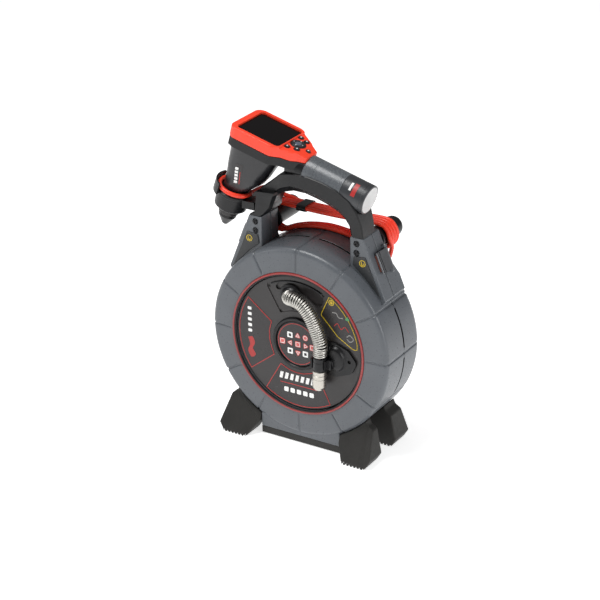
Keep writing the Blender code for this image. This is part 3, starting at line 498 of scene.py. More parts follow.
def revolved(profile):
    """Turns (radius, Y, groove direction, slot direction) points round the axle, with grooves and slots."""
    rings = []
    for angle, groove, slot in rim_columns():
        ring = []
        for radius, y, (sink_r, sink_y), slot_y in profile:
            x, z = polar(radius - sink_r * GROOVE_DEPTH * groove, angle)
            ring.append((x, y + sink_y * GROOVE_DEPTH * groove + slot_y * SLOT_DEPTH * slot, z))
        rings.append(ring)
    return loft(rings, closed=True)


def case_profile(parting, sense, face_y, shoulder, face_points, inner_points):
    """Cross-section of one case half. Sense is -1 for the half in front of the parting plane."""
    plain = (0, 0)
    floor_r = HOUSING_R - SEAM_DEPTH
    profile = [(floor_r, parting, plain, 0), (floor_r, parting, plain, sense),
               (HOUSING_R - 0.25, parting, (1, 0), sense), (HOUSING_R, parting + 0.25 * sense, (1, 0), sense)]
    corner = face_y - sense * shoulder
    for k in range(8):
        turn = radians(90 * k / 7)
        profile.append((HOUSING_R - shoulder + shoulder * cos(turn), corner + sense * shoulder * sin(turn),
                        (cos(turn), -sense * sin(turn)), 0))
    profile += [(r, y, (0, -sense) if sunk else plain, 0) for r, y, sunk in face_points]
    return profile + [(r, y, plain, 0) for r, y in inner_points]


def ear(side, y0, y1):
    """One half of the post that rises from the housing to the handle, on the left or the right."""
    inner_x, top = 79, 364.3
    outline = [(inner_x, AXLE_Z + sqrt(SINK_R ** 2 - inner_x ** 2)), (inner_x, top), (102, top), (141, 270)]
    outline += [polar(SINK_R, angle) for angle in (31.5, 38, 45, 52)]
    return prism([(side * x, z) for x, z in outline], y0, y1)


def plinth(y0, y1, room):
    """The block under one case half, cut away inside the housing between the two depths of its room."""
    low, high, half = 14.0, 42.0, 72.5
    outline = rounded([(-half, low, 2), (half, low, 2), (half, high, 8), (-half, high, 8)], 3)
    bm = softened(prism(outline, y0, y1), 1.6, 3, 60)
    return combined(bm, [cylinder(SINK_R, *room, 96, along_y())])


def front_case():
    """The hinged front half of the housing, with the opening for the drum's face."""
    face_points = [(148, FRONT_Y + 1.7, True), (136, FRONT_Y + 1.0, True), (125, FRONT_Y + 0.3, True),
                   (121.5, FRONT_Y + 0.1, False), (RING_OUTER_R + GAP, FRONT_Y + 0.4, False)]
    inner_points = [(RING_OUTER_R + GAP, FRONT_Y + 2.1), (OPENING_R, FRONT_Y + 2.1),
                    (OPENING_R, FRONT_Y + 5.8), (INNER_R - 8, FRONT_Y + 5.8), (INNER_R, FRONT_Y + 13),
                    (INNER_R, PART_Y - GAP)]
    bm = revolved(case_profile(PART_Y - GAP, -1, FRONT_Y + 2, 8.5, face_points, inner_points))
    parts = []
    for side, _ in SIDES:
        solid = softened(ear(side, EAR_FRONT_Y, PART_Y - 0.5), 1.5)
        for z in SCREW_Z.values():
            spot = along((side * 90.5, EAR_FRONT_Y + 0.9, z), (0, -1, 0))
            solid = combined(solid, [cylinder(5.4, -3, 6, 24, spot)])
        parts.append(solid)
    parts.append(plinth(FRONT_Y + 4, PART_Y - 0.5, (FRONT_Y + 6, PART_Y + 10)))
    bm = combined(bm, parts, "UNION")
    paint_seam_slot_shade(piece("front_case", bm, [HOUSING, BLACK], "front_housing", 30))


def rear_case():
    """The back half of the housing, with a sloping cut behind its posts and lugs for the latches."""
    face_points = [(138, BACK_Y, True), (126, BACK_Y, True), (122, BACK_Y, False),
                   (119, BACK_Y - 1.2, False), (92, BACK_Y - 1.2, False), (89, BACK_Y, False),
                   (46, BACK_Y, False), (12.3, BACK_Y, False)]
    inner_points = [(12.3, BACK_Y - 4), (INNER_R - 10, BACK_Y - 4), (INNER_R, BACK_Y - 14),
                    (INNER_R, PART_Y + GAP)]
    bm = revolved(case_profile(PART_Y + GAP, 1, BACK_Y, 14, face_points, inner_points))
    lug_side = rounded([(-2.5, 3.2), (6.4, 4.6, 2.4), (6.4, 11.4, 2.4), (-2.5, 12.8)])
    parts, bores = [], []
    for side, _ in SIDES:
        low_x, high_x = sorted((side * 60, side * 170))
        slope = prism([(15, 322), (15, 400), (60, 400), (60, 290), (29, 290)], low_x, high_x, "YZ")
        parts.append(softened(combined(ear(side, PART_Y + 0.5, 28), [slope]), 1.5))
        latch_face = latch_frame(side)
        for low_y, high_y in ((-23.5, -19.4), (15.4, 19.5)):
            parts.append(prism(lug_side, low_y, high_y, "XY", latch_face))
        bores.append(cylinder(2.3, -30, 30, 20, latch_face @ moved(3.6, 8, 0)))
    parts.append(plinth(PART_Y + 0.5, 26, (PART_Y - 10, 29)))
    bm = combined(combined(bm, parts, "UNION"), bores)
    paint_seam_slot_shade(piece("rear_case", bm, [HOUSING, BLACK], "rear_housing", 30))


def paint_seam_slot_shade(case):
    """Paints shade into the slots in the seam: gives the second material, black, to their floor and sides,
    where the housing grey would lie in shade.
    """
    for face in case.data.polygons:
        spot = face.center / MM - BOX_SHIFT
        radius = Vector((spot.x, spot.z - AXLE_Z)).length
        if HOUSING_R - SEAM_DEPTH - 0.6 < radius < HOUSING_R - 0.3 and abs(spot.y - PART_Y) < 2.0:
            # painted shade: the slot faces take black in place of the housing grey
            face.material_index = 1


def latch_frame(side):
    """Frame on an ear's sloping face: X out of the face, Y along the reel's Y, Z up the slope."""
    slope = Vector((39, 0, -94.6)).normalized()
    out, up = Vector((side * -slope.z, 0, slope.x)), Vector((side * -slope.x, 0, -slope.z))
    turn = Matrix((out, Vector((0, 1, 0)), up)).transposed().to_4x4()
    return moved(side * 118.6, 0, 324.5) @ turn


def front_ring():
    """The red ring round the drum, and the black lip inside it."""
    outer, inner = RING_OUTER_R, RING_OUTER_R - 3.4
    ring = measured_from(FRONT_Y, [(inner, 1.8), (inner, -1.0), (inner + 0.6, -1.6), (outer - 1.1, -1.6),
                                   (outer - 0.3, -0.9), (outer, 1.8)])
    piece("drum_ring", turned(ring, 160, along_y()), RING, "front_ring")
    lip = measured_from(FRONT_Y, [(OPENING_R, 1.8), (OPENING_R, -0.2), (OPENING_R + 0.5, -0.7),
                                  (inner - GAP, -0.7), (inner - GAP, 1.8)])
    piece("drum_ring_lip", turned(lip, 160, along_y()), BLACK, "cover")


# ---- feet and base

def foot(word, side, y_toe, y_heel, lean):
    """A rubber foot whose sole is cut into teeth both ways. Its toe leans out by each point's shift."""
    sole = [(88.8, 0, 0), (129.7, 0, 0), (138.8, 14.2, 2), (131.0, 56.0, 30), (121.0, 63.0, 32)]
    saddle_r = HOUSING_R + 0.6
    saddle = [(x, AXLE_Z - sqrt(saddle_r ** 2 - x * x), 31 - 0.1 * (118 - x)) for x in (118, 104, 90)]
    inner = [(73, AXLE_Z - sqrt(saddle_r ** 2 - 73 ** 2), 26), (73, 24.0, 20)]
    outline = sole + saddle + inner
    bm = loft([[(side * x, y_toe + lean * shift, z) for x, z, shift in outline],
               [(side * x, y_heel, z) for x, z, shift in outline]])
    bm = softened(bm, 2.2, 3, 25)
    low_y, high_y = sorted((y_toe, y_heel))
    pitch, half, tip, depth = 6.2, 2.1, 0.8, 4.2

    def gap(middle):
        return [(middle - half, -1), (middle + half, -1), (middle + tip, depth), (middle - tip, depth)]

    lengthways = [prism(gap(side * (91.5 + pitch * k)), low_y - 4, high_y + 4) for k in range(7)]
    low_x, high_x = sorted((side * 84, side * 146))
    across = [prism(gap(low_y + 3.6 + pitch * k), low_x, high_x, "YZ")
              for k in range(int((high_y - low_y) / pitch))]
    bm = combined(combined(bm, lengthways), across)
    piece(f"{word}_foot_rubber", bm, RUBBER, f"{word}_foot", 30)


# ---- drum

def face_plate(outline, depth, mat, name, base=FACE_Y):
    """A thin label or panel laid on the drum's face, or on a base in front of it."""
    piece(name, prism(outline, base - depth, base - 0.02), mat, "drum")


def inset(outline, width):
    """The outline moved inwards by the width."""
    points = [Vector(p) for p in outline]
    area = sum(a.x * b.y - b.x * a.y for a, b in zip(points, points[1:] + points[:1]))
    sense = 1 if area > 0 else -1
    made = []
    for i, here in enumerate(points):
        into = (here - points[i - 1]).normalized()
        out = (points[(i + 1) % len(points)] - here).normalized()
        normal = Vector((-(into.y + out.y), into.x + out.x)).normalized() * sense
        share = max(0.35, (Vector((-into.y, into.x)) * sense).dot(normal))
        made.append(tuple(here + normal * (width / share)))
    return made


def band(name, outline, width, mat, depth=0.22, body="drum", base=FACE_Y):
    """A line of even width along a closed outline on the drum's face."""
    inner = inset(outline, width)
    bm = bmesh.new()
    loops = [[bm.verts.new((a * MM, y * MM, b * MM)) for a, b in ring]
             for ring, y in ((outline, base), (inner, base), (inner, base - depth), (outline, base - depth))]
    for first, second in zip(loops, loops[1:] + loops[:1]):
        for i in range(len(first)):
            j = (i + 1) % len(first)
            bm.faces.new((first[i], first[j], second[j], second[i]))
    piece(name, tidy(bm), mat, body)


def sweep(radius, start, stop, step):
    return [polar(radius, angle) for angle in range(start, stop, step)]


def drum_face():
    """The drum's face, with a shallow bay, the pocket that the spring comes out of, and screw holes."""
    profile = measured_from(FACE_Y, [(0, 0), (FACE_R - 2.4, 0), (FACE_R - 0.7, 0.6), (FACE_R, 2.0),
                                     (FACE_R, 5.7), (0, 5.7)])
    bm = turned(profile, 160, along_y())
    bay = rounded([(*polar(57, 124), 3), (*polar(106, 122), 5)] + sweep(106.5, 117, 66, -5)
                  + [(*polar(106, 62), 5), (*polar(60, 63), 3)] + sweep(54, 70, 121, 6))
    pocket = rounded([(-44, 262, 4)] + sweep(101.5, 110, 69, -4)
                     + [(49, 264, 5), (44, 251, 6), (30, 249, 5), (16, 260, 8), (0, 264, 9), (-20, 263, 8)])
    hole = cylinder(12.2, -20, 20, 40, along((-12, FACE_Y, 256), (0, 1, 0)))
    bm = combined(bm, [prism(bay, FACE_Y - 3, FACE_Y + 1.2), prism(pocket, FACE_Y - 3, FACE_Y + 4.0), hole])
    for x, z in ((-50, 266), (-4, 281.5), (47, 270), (-30, 227), (-8, 236)):
        bm = combined(bm, [cylinder(2.6, -2, 2.4, 20, along((x, FACE_Y, z), (0, 1, 0)))])
    piece("drum_front", softened(bm, 0.5, 2, 40), DRUM, "drum_face", 30)
    ridge = prism(sweep(104.6, 117, 62, -4) + sweep(102.2, 65, 120, 4), FACE_Y - 1.4, FACE_Y + 2.2)
    piece("bay_ridge", softened(ridge, 0.6, 2), BLACK, "drum")


def drum_graphics():
    """Coloured lines and plain symbols printed on the drum's face."""
    left = sweep(108.5, 146, 217, 5) + [polar(r, a) for r, a in (
        (52.5, 214), (51, 200), (51.5, 185), (52.5, 168), (54.5, 150))]
    low = sweep(109.5, 236, 303, 6) + [polar(r, a) for r, a in (
        (72, 305), (52.5, 309), (51, 295), (51, 280), (51, 265), (51.5, 250), (53, 232))]
    wedge = [(57, 270.4), (62, 269.5)] + sweep(109.6, 53, 9, -4) + [
        (107, 192.5), (103, 190.5), (97, 192), (72, 206.5), (43, 236.5), (43, 240)]
    for name, outline, line, mat in (("left", left, 1.3, RED_LINE), ("lower", low, 1.3, RED_LINE),
                                     ("notice", wedge, 1.1, YELLOW)):
        band(f"{name}_outline", outline, line, mat, 0.5)
        face_plate(inset(outline, line + 0.4), 0.35, LABEL, f"{name}_label")
    dot, dot_height, mark_height = (61.5, 262), 0.6, 0.55
    face_plate(disc(dot, 5.0), dot_height, YELLOW, "notice_dot")
    band("notice_dot_ring", disc(dot, 3.4), 0.7, LABEL, 0.2, base=FACE_Y - dot_height)
    for k in range(7):
        x = -35.5 + 9.6 * k
        chevron = [(x, 111), (x + 5.6, 111), (x + 8.0, 122), (x + 2.4, 122)]
        face_plate(chevron, mark_height, WHITE, f"lower_chevron_{k}")
    face_plate(rectangle(-34, 103.6, 34, 105.0, 0.5, 2), mark_height, RED_LINE, "lower_rule")
    for k in range(5):
        x = -27 + 11.6 * k
        face_plate(rectangle(x, 89, x + 8, 97, 1.6, 3), mark_height, WHITE, f"lower_tile_{k}")
    for k in range(5):
        z = 219 - 9.6 * k
        face_plate(rectangle(-91.5, z - 2.6, -84.5, z + 2.6, 1.4, 3), mark_height, WHITE, f"left_tick_{k}")
    swirl = [(-92, 168), (-84, 170), (-80, 160), (-84, 150), (-79, 140), (-87, 134), (-93, 145), (-89, 156)]
    swirl = flowing([(x, z, 0) for x, z in swirl + swirl[:1]], 5)[:-1]
    face_plate([tuple(point.xy) for point in swirl], mark_height, RED_LINE, "left_swirl")

    def mark_line(name, mat, *points):
        tube(name, flowing([(x, FACE_Y, z) for x, z in points], 6), 0.8, mat, "drum")

    mark_line("notice_pipe", GREY_MARK, (63, 246), (70, 246), (74, 240), (82, 240))
    mark_line("notice_wave", RED_LINE, (66, 224), (72, 229), (78, 221), (85, 226), (92, 219))
    arrow = rounded([(84, 238, 1.5), (94, 238, 1.5), (91, 246, 1.5)], 3)
    face_plate(arrow, mark_height, GREEN, "notice_arrow")
    mark_line("notice_loop", GREY_MARK, (88, 210), (94, 214), (100, 208), (94, 203), (88, 207))


def key_island():
    """The round membrane keypad in the middle of the drum: white and pink keys with plain signs."""
    front = FACE_Y - GAP
    ring = measured_from(front, [(37.6, 0), (37.9, -2.6), (39.2, -3.9), (42.4, -3.9), (43.8, -2.6),
                                 (44.2, 0)])
    piece("key_surround", turned(ring, 120, along_y()), BLACK, "keypad_ring")
    panel = measured_from(front, [(0, 0), (37.2, 0), (37.2, -1.6), (36.4, -2.2), (34.9, -2.4), (0, -2.4)])
    piece("key_membrane", turned(panel, 96, along_y()), LABEL, "keypad_panel")
    band("key_membrane_line", arc((0, AXLE_Z), 34.8, 0, 355, 71), 1.1, RED_LINE, base=front - 2.4)
    base, half, corner_r, key_height, mark_height = front - 2.38, 4.9, 1.4, 0.5, 0.08
    arrows = {"right": 0, "up": 90, "left": 180, "down": 270}
    for index, (x, z, kind) in enumerate((
            (-12.6, 191.5, "white"), (1.5, 192.5, "up"), (15.3, 192, "disc"), (-26.5, 178, "square"),
            (-12.2, 178, "left"), (1.5, 178, "square"), (15.3, 178, "right"), (28, 178, "square"),
            (-12.6, 164, "white"), (1.5, 163.5, "down"), (15, 164, "white"))):
        if kind in arrows:
            turns = [arrows[kind] + turn for turn in (0, 120, 240)]
            outline = rounded([(*polar(6.6, turn, (x, z)), corner_r) for turn in turns], 3)
        elif kind == "disc":
            outline = disc((x, z), half)
        else:
            outline = rectangle(x - half, z - half, x + half, z + half, corner_r, 3)
        mat = WHITE if kind == "white" else PINK
        key = softened(prism(outline, base - key_height, base), 0.2, 2)
        piece(f"membrane_key_{index}", key, mat, "drum")
        name, top = f"membrane_mark_{index}", base - key_height
        if kind == "white":
            face_plate(rectangle(x - 2.2, z - 2.2, x + 2.2, z + 2.2, 0.5, 2), mark_height, LABEL, name, top)
        else:
            band(name, inset(outline, 1.2), 0.8, WHITE, mark_height, base=top)


# The spring leaves the drum's face, bends over and hangs down to the sleeve of the camera head.
HEAD_AXIS = Vector((-0.057, 0.02, -1)).normalized()
SPRING_END = Vector((49.8, -76.3, 175.0))
SPRING_ROUTE = [Vector(p) for p in ((-12, -52, 256), (-12, -62, 256.5), (-7, -71, 258.5), (4, -75.5, 260),
                                    (19, -76.3, 255), (33.3, -76.5, 239), (44, -76.6, 217))]
SPRING_ROUTE += [SPRING_END - HEAD_AXIS * 22, SPRING_END - HEAD_AXIS * 11, SPRING_END]
SLEEVE_TOP = SPRING_END + HEAD_AXIS * 0.6


def camera_and_spring():
    line = evenly(flowing(SPRING_ROUTE, 16), 0.25)
    wire_r, coil_r, pitch, per_turn = 1.4, 10.0, 3.4, 18
    tangents = [(b - a).normalized() for a, b in zip(line, line[1:])]
    side = tangents[0].orthogonal().normalized()
    helix, walked, next_step = [], 0.0, 0.0
    for here, ahead, tangent in zip(line, line[1:], tangents):
        side = (side - tangent * side.dot(tangent)).normalized()
        while walked >= next_step:
            turn = 2 * pi * next_step / pitch
            helix.append(here + (side * cos(turn) + tangent.cross(side) * sin(turn)) * coil_r)
            next_step += pitch / per_turn
        walked += (ahead - here).length
    helix = helix[per_turn * 4:-per_turn // 2]
    tube("camera_coil", helix, wire_r, SPRING, "camera_spring", 3)
    tube("camera_coil_core", evenly(flowing(SPRING_ROUTE, 8), 3.0), 8.2, BLACK, "drum", sides=5)
    boot = [(12.4, 0), (19.8, 0), (19.2, 1.4), (15.6, 2.6), (13.6, 6.2), (11.6, 7.0), (11.6, 1.0)]
    boot = turned(boot, 48, along((-12, FACE_Y + 0.7, 256), (0, -1, 0.03)))
    piece("spring_boot", boot, BLACK, "spring_guide")
    sleeve = [(0, 0), (10.2, 0), (11.0, 0.8), (11.0, 5), (10.6, 5.5), (10.6, 7), (11.0, 7.5), (11.2, 9),
              (11.2, 20), (10.9, 21), (10.2, 22.6), (0, 22.6)]
    sleeve = turned(sleeve, 56, along(SLEEVE_TOP, HEAD_AXIS))
    piece("camera_collar", sleeve, BLACK, "camera_sleeve", 30)
    top = SLEEVE_TOP + HEAD_AXIS * 23.3
    barrel = [(0, 0), (10.4, 0), (10.9, 0.5), (10.9, 5.2), (10.3, 5.7), (10.3, 6.9), (10.9, 7.4),
              (10.9, 12.4), (10.5, 12.8), (10.5, 13.6), (10.9, 14.0), (10.9, 27.0), (10.4, 28.6),
              (8.9, 32.2), (8.4, 32.7), (7.6, 32.9), (7.5, 31.6), (0, 31.6)]
    barrel = turned(barrel, 64, along(top, HEAD_AXIS))
    piece("camera_barrel", barrel, BRIGHT, "camera_head", 30)
    lens = [(0, 0), (7.0, 0), (7.0, 0.9), (6.4, 1.5), (4.2, 1.7), (3.6, 1.3), (3.4, 1.0), (1.8, 1.8),
            (0, 2.0)]
    lens = turned(lens, 48, along(top + HEAD_AXIS * 31.9, HEAD_AXIS))
    piece("camera_lens", lens, GLASS, "camera_window", 30)


def camera_holder():
    """The camera's clip, with a hump of D-shaped rings beside it that narrow towards the front."""
    hump = []
    for level, share in ((0, 1.1), (0.9, 1.08), (1.3, 0.99), (3.8, 0.95), (5.6, 0.86), (6.6, 0.72),
                         (7.0, 0.45)):
        ring = []
        for k in range(48):
            across, up = cos(2 * pi * k / 48), sin(2 * pi * k / 48)
            half = 16 if across > 0 else 12.5 * (1 + 0.35 * up * up)
            x = 71 + half * across * share
            ring.append((x, FACE_Y - GAP - 3.1 - level, 171 + 20.5 * up * share - 0.1 * (x - 71)))
        hump.append(ring)
    bm = combined(softened(cad("camera_clip"), 0.9), [loft(hump)], "UNION")
    piece("camera_holder", bm, BLACK, "camera_clip", 35)


# ---- display

def display_outline():
    end = GRIP_START - GAP
    near = [(-48, -44, 14), (31, -44, 14), (44, -33, 10), (59, -29, 9), (70, -19.5, 8), (end, -15.5, 4)]
    far = [(end, 15.5, 4), (68, 20, 8), (55, 29, 14), (33, 44, 16), (-48, 44, 14)]
    return rounded(near + far, 6)


# Each key's place on the display, and the height of its top.
KEYS = {"key_a": (44.0, -18.5, 0.8), "key_b": (43.5, 22.0, 0.8), "key_c": (56.5, 18.0, 0.8),
        "key_d": (58.5, -13.5, 0.8), "key_e": (71.0, 0.5, -1.9)}
PAD_PLACE = (51.5, 1.5, 0.8)
PAD_R, KEY_R, KEY_HEIGHT, POCKET_DEPTH = 10.5, 3.7, 3.3, 4.8


def display_surround():
    slope = prism([(62.5, -1), (92, -10.2), (92, 9), (62.5, 9)], -60, 60)
    bm = combined(prism(display_outline(), -16, 2, "XY"), [box(39.8, -60, -1, 100, 60, 9), slope])
    bm = softened(bm, 2.2, 4, 40)
    cuts = [prism(rectangle(-38.0, -37.0, 38.2, 37.0, 6), -20, 6, "XY")]
    for radius, (x, y, top) in [(PAD_R, PAD_PLACE)] + [(KEY_R, place) for place in KEYS.values()]:
        cuts.append(cylinder(radius + 0.4, top - POCKET_DEPTH, 6, 32, moved(x, y, 0)))
    piece("display_surround", tidy(combined(bm, cuts), DISPLAY), ORANGE, "display_bezel", 30)
    glass = softened(prism(rectangle(-37.7, -36.7, 37.9, 36.7, 5.7, 6), -3.0, -0.8, "XY"), 0.5, 2)
    piece("display_glass", tidy(glass, DISPLAY), SCREEN, "screen_glass", 30)


def keys():
    cap = [(0, -KEY_HEIGHT), (KEY_R, -KEY_HEIGHT), (KEY_R, -0.7), (KEY_R - 0.3, -0.2), (KEY_R - 1, 0),
           (0, -0.15)]
    collar = [(KEY_R + 0.5, -3), (KEY_R + 1.5, -3), (KEY_R + 1.5, -1.35), (KEY_R + 1.2, -1.1),
              (KEY_R + 0.5, -1.1)]
    for name, place in KEYS.items():
        spot = DISPLAY @ moved(*place)
        piece(f"{name}_cap", turned(cap, 32, spot), KEY, name)
        piece(f"{name}_mark", cylinder(1.3, -0.2, 0.05, 16, spot), WHITE, BODY_OF[name])
        if name != "key_e":
            piece(f"{name}_collar", turned(collar, 36, spot), BLACK, "display")


def direction_pad():
    spot, body = DISPLAY @ moved(*PAD_PLACE), BODY_OF["direction_pad"]
    cap = [(0, -KEY_HEIGHT), (PAD_R, -KEY_HEIGHT), (PAD_R, -0.6), (PAD_R - 0.4, 0.1), (PAD_R - 1.2, 0.4),
           (6.4, -0.2), (5.4, -0.4), (4.9, 0.0), (4.0, 0.5), (0, 0.6)]
    pad = piece("direction_pad_cap", turned(cap, 64, spot), [KEY, PAD], "direction_pad")
    middle = spot.translation + BOX_SHIFT * MM
    for face in pad.data.polygons:
        face.material_index = 1 if (face.center - middle).length < 5.2 * MM else 0
    surround = [(PAD_R + 0.5, -3), (PAD_R + 2.0, -3), (PAD_R + 2.0, -1.4), (PAD_R + 1.6, -1.0),
                (PAD_R + 0.5, -1.0)]
    piece("direction_pad_surround", turned(surround, 64, spot), BLACK, "display")
    for k in range(4):
        turn = spot @ Matrix.Rotation(pi / 2 * k, 4, "Z")
        arrow = prism(rounded([(7.2, -1.1, 0.2), (8.8, 0, 0.2), (7.2, 1.1, 0.2)], 2), -0.3, 0.45, "XY", turn)
        piece(f"direction_mark_{k}", arrow, WHITE, body)


def grip():
    """The round grip behind the screen and the battery pack in its end, turned about the grip's axis."""
    start, end, split = GRIP_START, GRIP_SPLIT - GAP, GRIP_SPLIT
    place = DISPLAY @ along((0, 0, -GRIP_DROP), (1, 0, 0))
    outer, lip, bore = GRIP_R, GRIP_R - 0.5, 20.6
    shell = [(lip, start), (outer, start + 0.5), (outer, start + 17), (lip, start + 17.4),
             (lip, start + 18.2), (outer, start + 18.6), (outer, end - 6.5), (outer - 0.4, end - 6.1),
             (outer - 0.4, end - 5.5), (outer, end - 5.1), (outer, end - 0.5), (lip, end), (bore, end),
             (bore, start + 4), (0, start + 4), (0, start)]
    piece("grip_tube", turned(shell, 96, place), BARREL, "grip_shell", 30)
    tail, label_r = GRIP_END, outer - 2.6
    pack = [(0, start + 18), (20, start + 18), (20, split), (lip, split), (outer, split + 0.5),
            (outer, tail - 8), (outer - 0.6, tail - 7.4), (outer - 0.6, tail - 6.4), (outer, tail - 5.8),
            (outer, tail - 2), (lip, tail - 0.7), (outer - 1.8, tail - 0.2), (0, tail - 0.2)]
    piece("battery_case", turned(pack, 96, place), BATTERY, "battery_pack", 30)
    label = [(0, tail - 0.4), (label_r, tail - 0.4), (label_r, tail - 0.05), (label_r - 0.6, tail), (0, tail)]
    piece("battery_label", turned(label, 72, place), SILVER, "battery")
    battery_stripe("white", 160, 163.5, 30, 62, WHITE)
    battery_stripe("red", 166, 173, 14, 66, RED_LINE)


def battery_stripe(word, x0, x1, a0, a1, mat):
    """A thin label bent round the battery, between two places along it and two angles up from its front."""
    columns = 14
    angles = [radians(a0 + (a1 - a0) * k / columns) for k in range(columns + 1)]
    grids = [[[Vector((x, -radius * cos(a), -GRIP_DROP + radius * sin(a))) for a in angles]
              for x in (x0, (x0 + x1) / 2, x1)] for radius in (GRIP_R + 0.12, GRIP_R - 0.15)]
    piece(f"battery_stripe_{word}", sheet(*grids, DISPLAY), mat, "battery")


def display_back():
    bm = softened(cad("display_body"), 1.6, 3, 38)
    piece("display_back_shell", bm, BLACK, "display_body", 35)
    snout = softened(cad("display_snout"), 1.2, 3, 50)
    body = piece("display_nose", snout, NOSE, "display_snout", 50)
    slant, mark_lift = 3.0, 0.45
    sticker("nose_label", body, (-127, 411), (-112, 449), LABEL, slant)
    for k in range(5):
        x, z = -124.5 + 1.5 * k, 415.0 + 6.0 * k
        sticker(f"nose_mark_{k}", body, (x, z), (x + 6, z + 4.2), WHITE, slant, mark_lift, 3)
    sticker("nose_label_line", body, (-115.6, 414), (-114.2, 436), RED_LINE, slant, mark_lift)


def sticker(name, target, low, high, mat, slant, lift=0.22, rows=14):
    """A thin label pressed on a curved piece from the front. Low and high are (x, z) corners.

    Slant is how far it leans to the right in 12 mm of height, and lift how far it stands proud.
    """
    columns, sink, far_front = 8, -0.3, -120
    tree = BVHTree.FromObject(target, bpy.context.evaluated_depsgraph_get())
    outer, inner = [], []
    for j in range(rows + 1):
        z = low[1] + (high[1] - low[1]) * j / rows
        lean = slant * (z - low[1]) / 12
        hits = []
        for i in range(columns + 1):
            x = low[0] + (high[0] - low[0]) * i / columns + lean
            hits.append(tree.ray_cast((Vector((x, far_front, z)) + BOX_SHIFT) * MM, Vector((0, 1, 0)))[:2])
        outer.append([spot / MM - BOX_SHIFT + normal * lift for spot, normal in hits])
        inner.append([spot / MM - BOX_SHIFT + normal * sink for spot, normal in hits])
    piece(name, sheet(outer, inner), mat, target["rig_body"])


# ---- handle, dock, lead

def handle():
    bm = softened(cad("carry_handle"), 1.8, 3, 33)
    piece("carry_arch", bm, BLACK, "carry_handle", 45)


def pegs():
    length, tip_r = 86.5 - EAR_BACK_Y - GAP, 12.0
    flange = [(0, 0), (18.4, 0), (19, 0.6), (19, 2.8), (18.2, 3.5), (17.4, 3.9), (PEG_R, 5.5)]
    profile = flange + arc((PEG_R - tip_r, length - tip_r), tip_r, 0, 90, 10) + [(0, length)]
    for side, word in SIDES:
        place = along((side * PEG_X, EAR_BACK_Y + GAP, PEG_Z), (0, 1, 0))
        piece(f"{word}_winding_peg", turned(profile, 72, place), BLACK, f"{word}_peg", 30)


# The gland's direction, and the place on it where the lead's sleeve starts.
GLAND_AXIS = Vector((0.6, 0, 0.8))
GLAND = Vector((0, 52, AXLE_Z)) + GLAND_AXIS * 40.5


def lead_route():
    """Middle line of the lead, through the same points as in the CAD."""
    dock_turn = Matrix.Rotation(radians(DOCK_TILT), 3, "Y")
    loop_r, pitch, rest_r = PEG_R + LEAD_R + 1.6, 7.6, HOUSING_R + LEAD_R + 0.9
    points = [GLAND + GLAND_AXIS * reach for reach in (16.6, 24)]
    points += [Vector(p) for p in ((58, 52, 252), (82, 51.5, 278), (100, 49, 303), (111, 39, 328))]
    for turn in range(4):
        y = 28.0 + pitch * turn
        for a in ((0, 40, 80) if turn == 0 else (-80, -40, 0, 40, 80)):
            x, z = polar(loop_r, a, (PEG_X, PEG_Z))
            points.append(Vector((x, y, z)))
        top = PEG_Z + loop_r
        points += [Vector((x, y, top - sag)) for x, sag in ((60, 0.8), (20, 1.8), (-20, 1.8), (-60, 0.8))]
        if turn == 3:
            break
        for a in (100, 140, 180, 220, 260):
            x, z = polar(loop_r, a, (-PEG_X, PEG_Z))
            points.append(Vector((x, y, z)))
        low_y, radius = 23.5 + pitch * turn, rest_r - (0 if turn < 2 else 2.0)
        for x in (-79, -56, -30, 0, 30, 56, 79):
            ahead = low_y if abs(x) <= 30 else (low_y + y) / 2
            lift = 0.0 if abs(x) < 79 else 1.2
            height = AXLE_Z + sqrt(radius ** 2 - x * x) + lift
            points.append(Vector((x, ahead + pitch * (x + PEG_X) / (2 * PEG_X), height)))
    points += [Vector(p) for p in ((-73, 49.5, 369), (-89, 42, 376), (-101, 31, 384), (-107, 18, 391))]
    cup_r = 26.4
    for a in (20, 0, -30, -60, -90, -120, -150, -180, -200):
        points.append(DOCK_ORIGIN + dock_turn @ Vector((*polar(cup_r, a, (0, 0)), 4.2)))
    for local in ((-20.8, 20.5, 4.0), (-20, 30.5, -1), (-17, 39, -11), (-12, 44, -24), (-6.5, 45, -36.5),
                  (-2, 41, -47.5), (0, 33, -52), (0, 23.2, -52)):
        points.append(DOCK_ORIGIN + dock_turn @ Vector(local))
    return points


def lead():
    tube("system_lead", flowing(lead_route(), 10), LEAD_R, CABLE, "system_cable")
    profile = [(0, 0), (6, 0), (6, 2.6)]
    for k in range(5):
        start, rib, groove = 2.5 * k, 5.6 - 0.2 * k, 4.9 - 0.2 * k
        profile += [(rib, start + 3.2), (rib, start + 4.6), (groove, start + 4.9), (groove, start + 5.4)]
    profile += [(4.0, 16), (0, 16)]
    bm = turned(profile, 40, along(GLAND, GLAND_AXIS))
    piece("lead_gland", bm, BLACK, "cable_gland", 30)


def dock():
    piece("display_cup", softened(cad("dock_cup"), 1.0, 3, 38), BLACK, "dock_cup", 35)
    refine("connector_collar", DRUM, 0.6)
    refine("cable_connector", BLACK, 0.8)


def latch(side, word):
    lever, face = f"{word}_latch", latch_frame(side)
    grooves = [box(5.2, -23 + 4 * k, -20, 9, -21.4 + 4 * k, 16, face) for k in range(3)]
    bm = combined(softened(cad(lever), 0.6), grooves)
    piece(f"{word}_latch_lever", bm, LEVER, lever, 30)
    refine(f"{word}_latch_keeper", RUST, 0.5)
    refine(f"{word}_latch_pin", STEEL, 0.4)


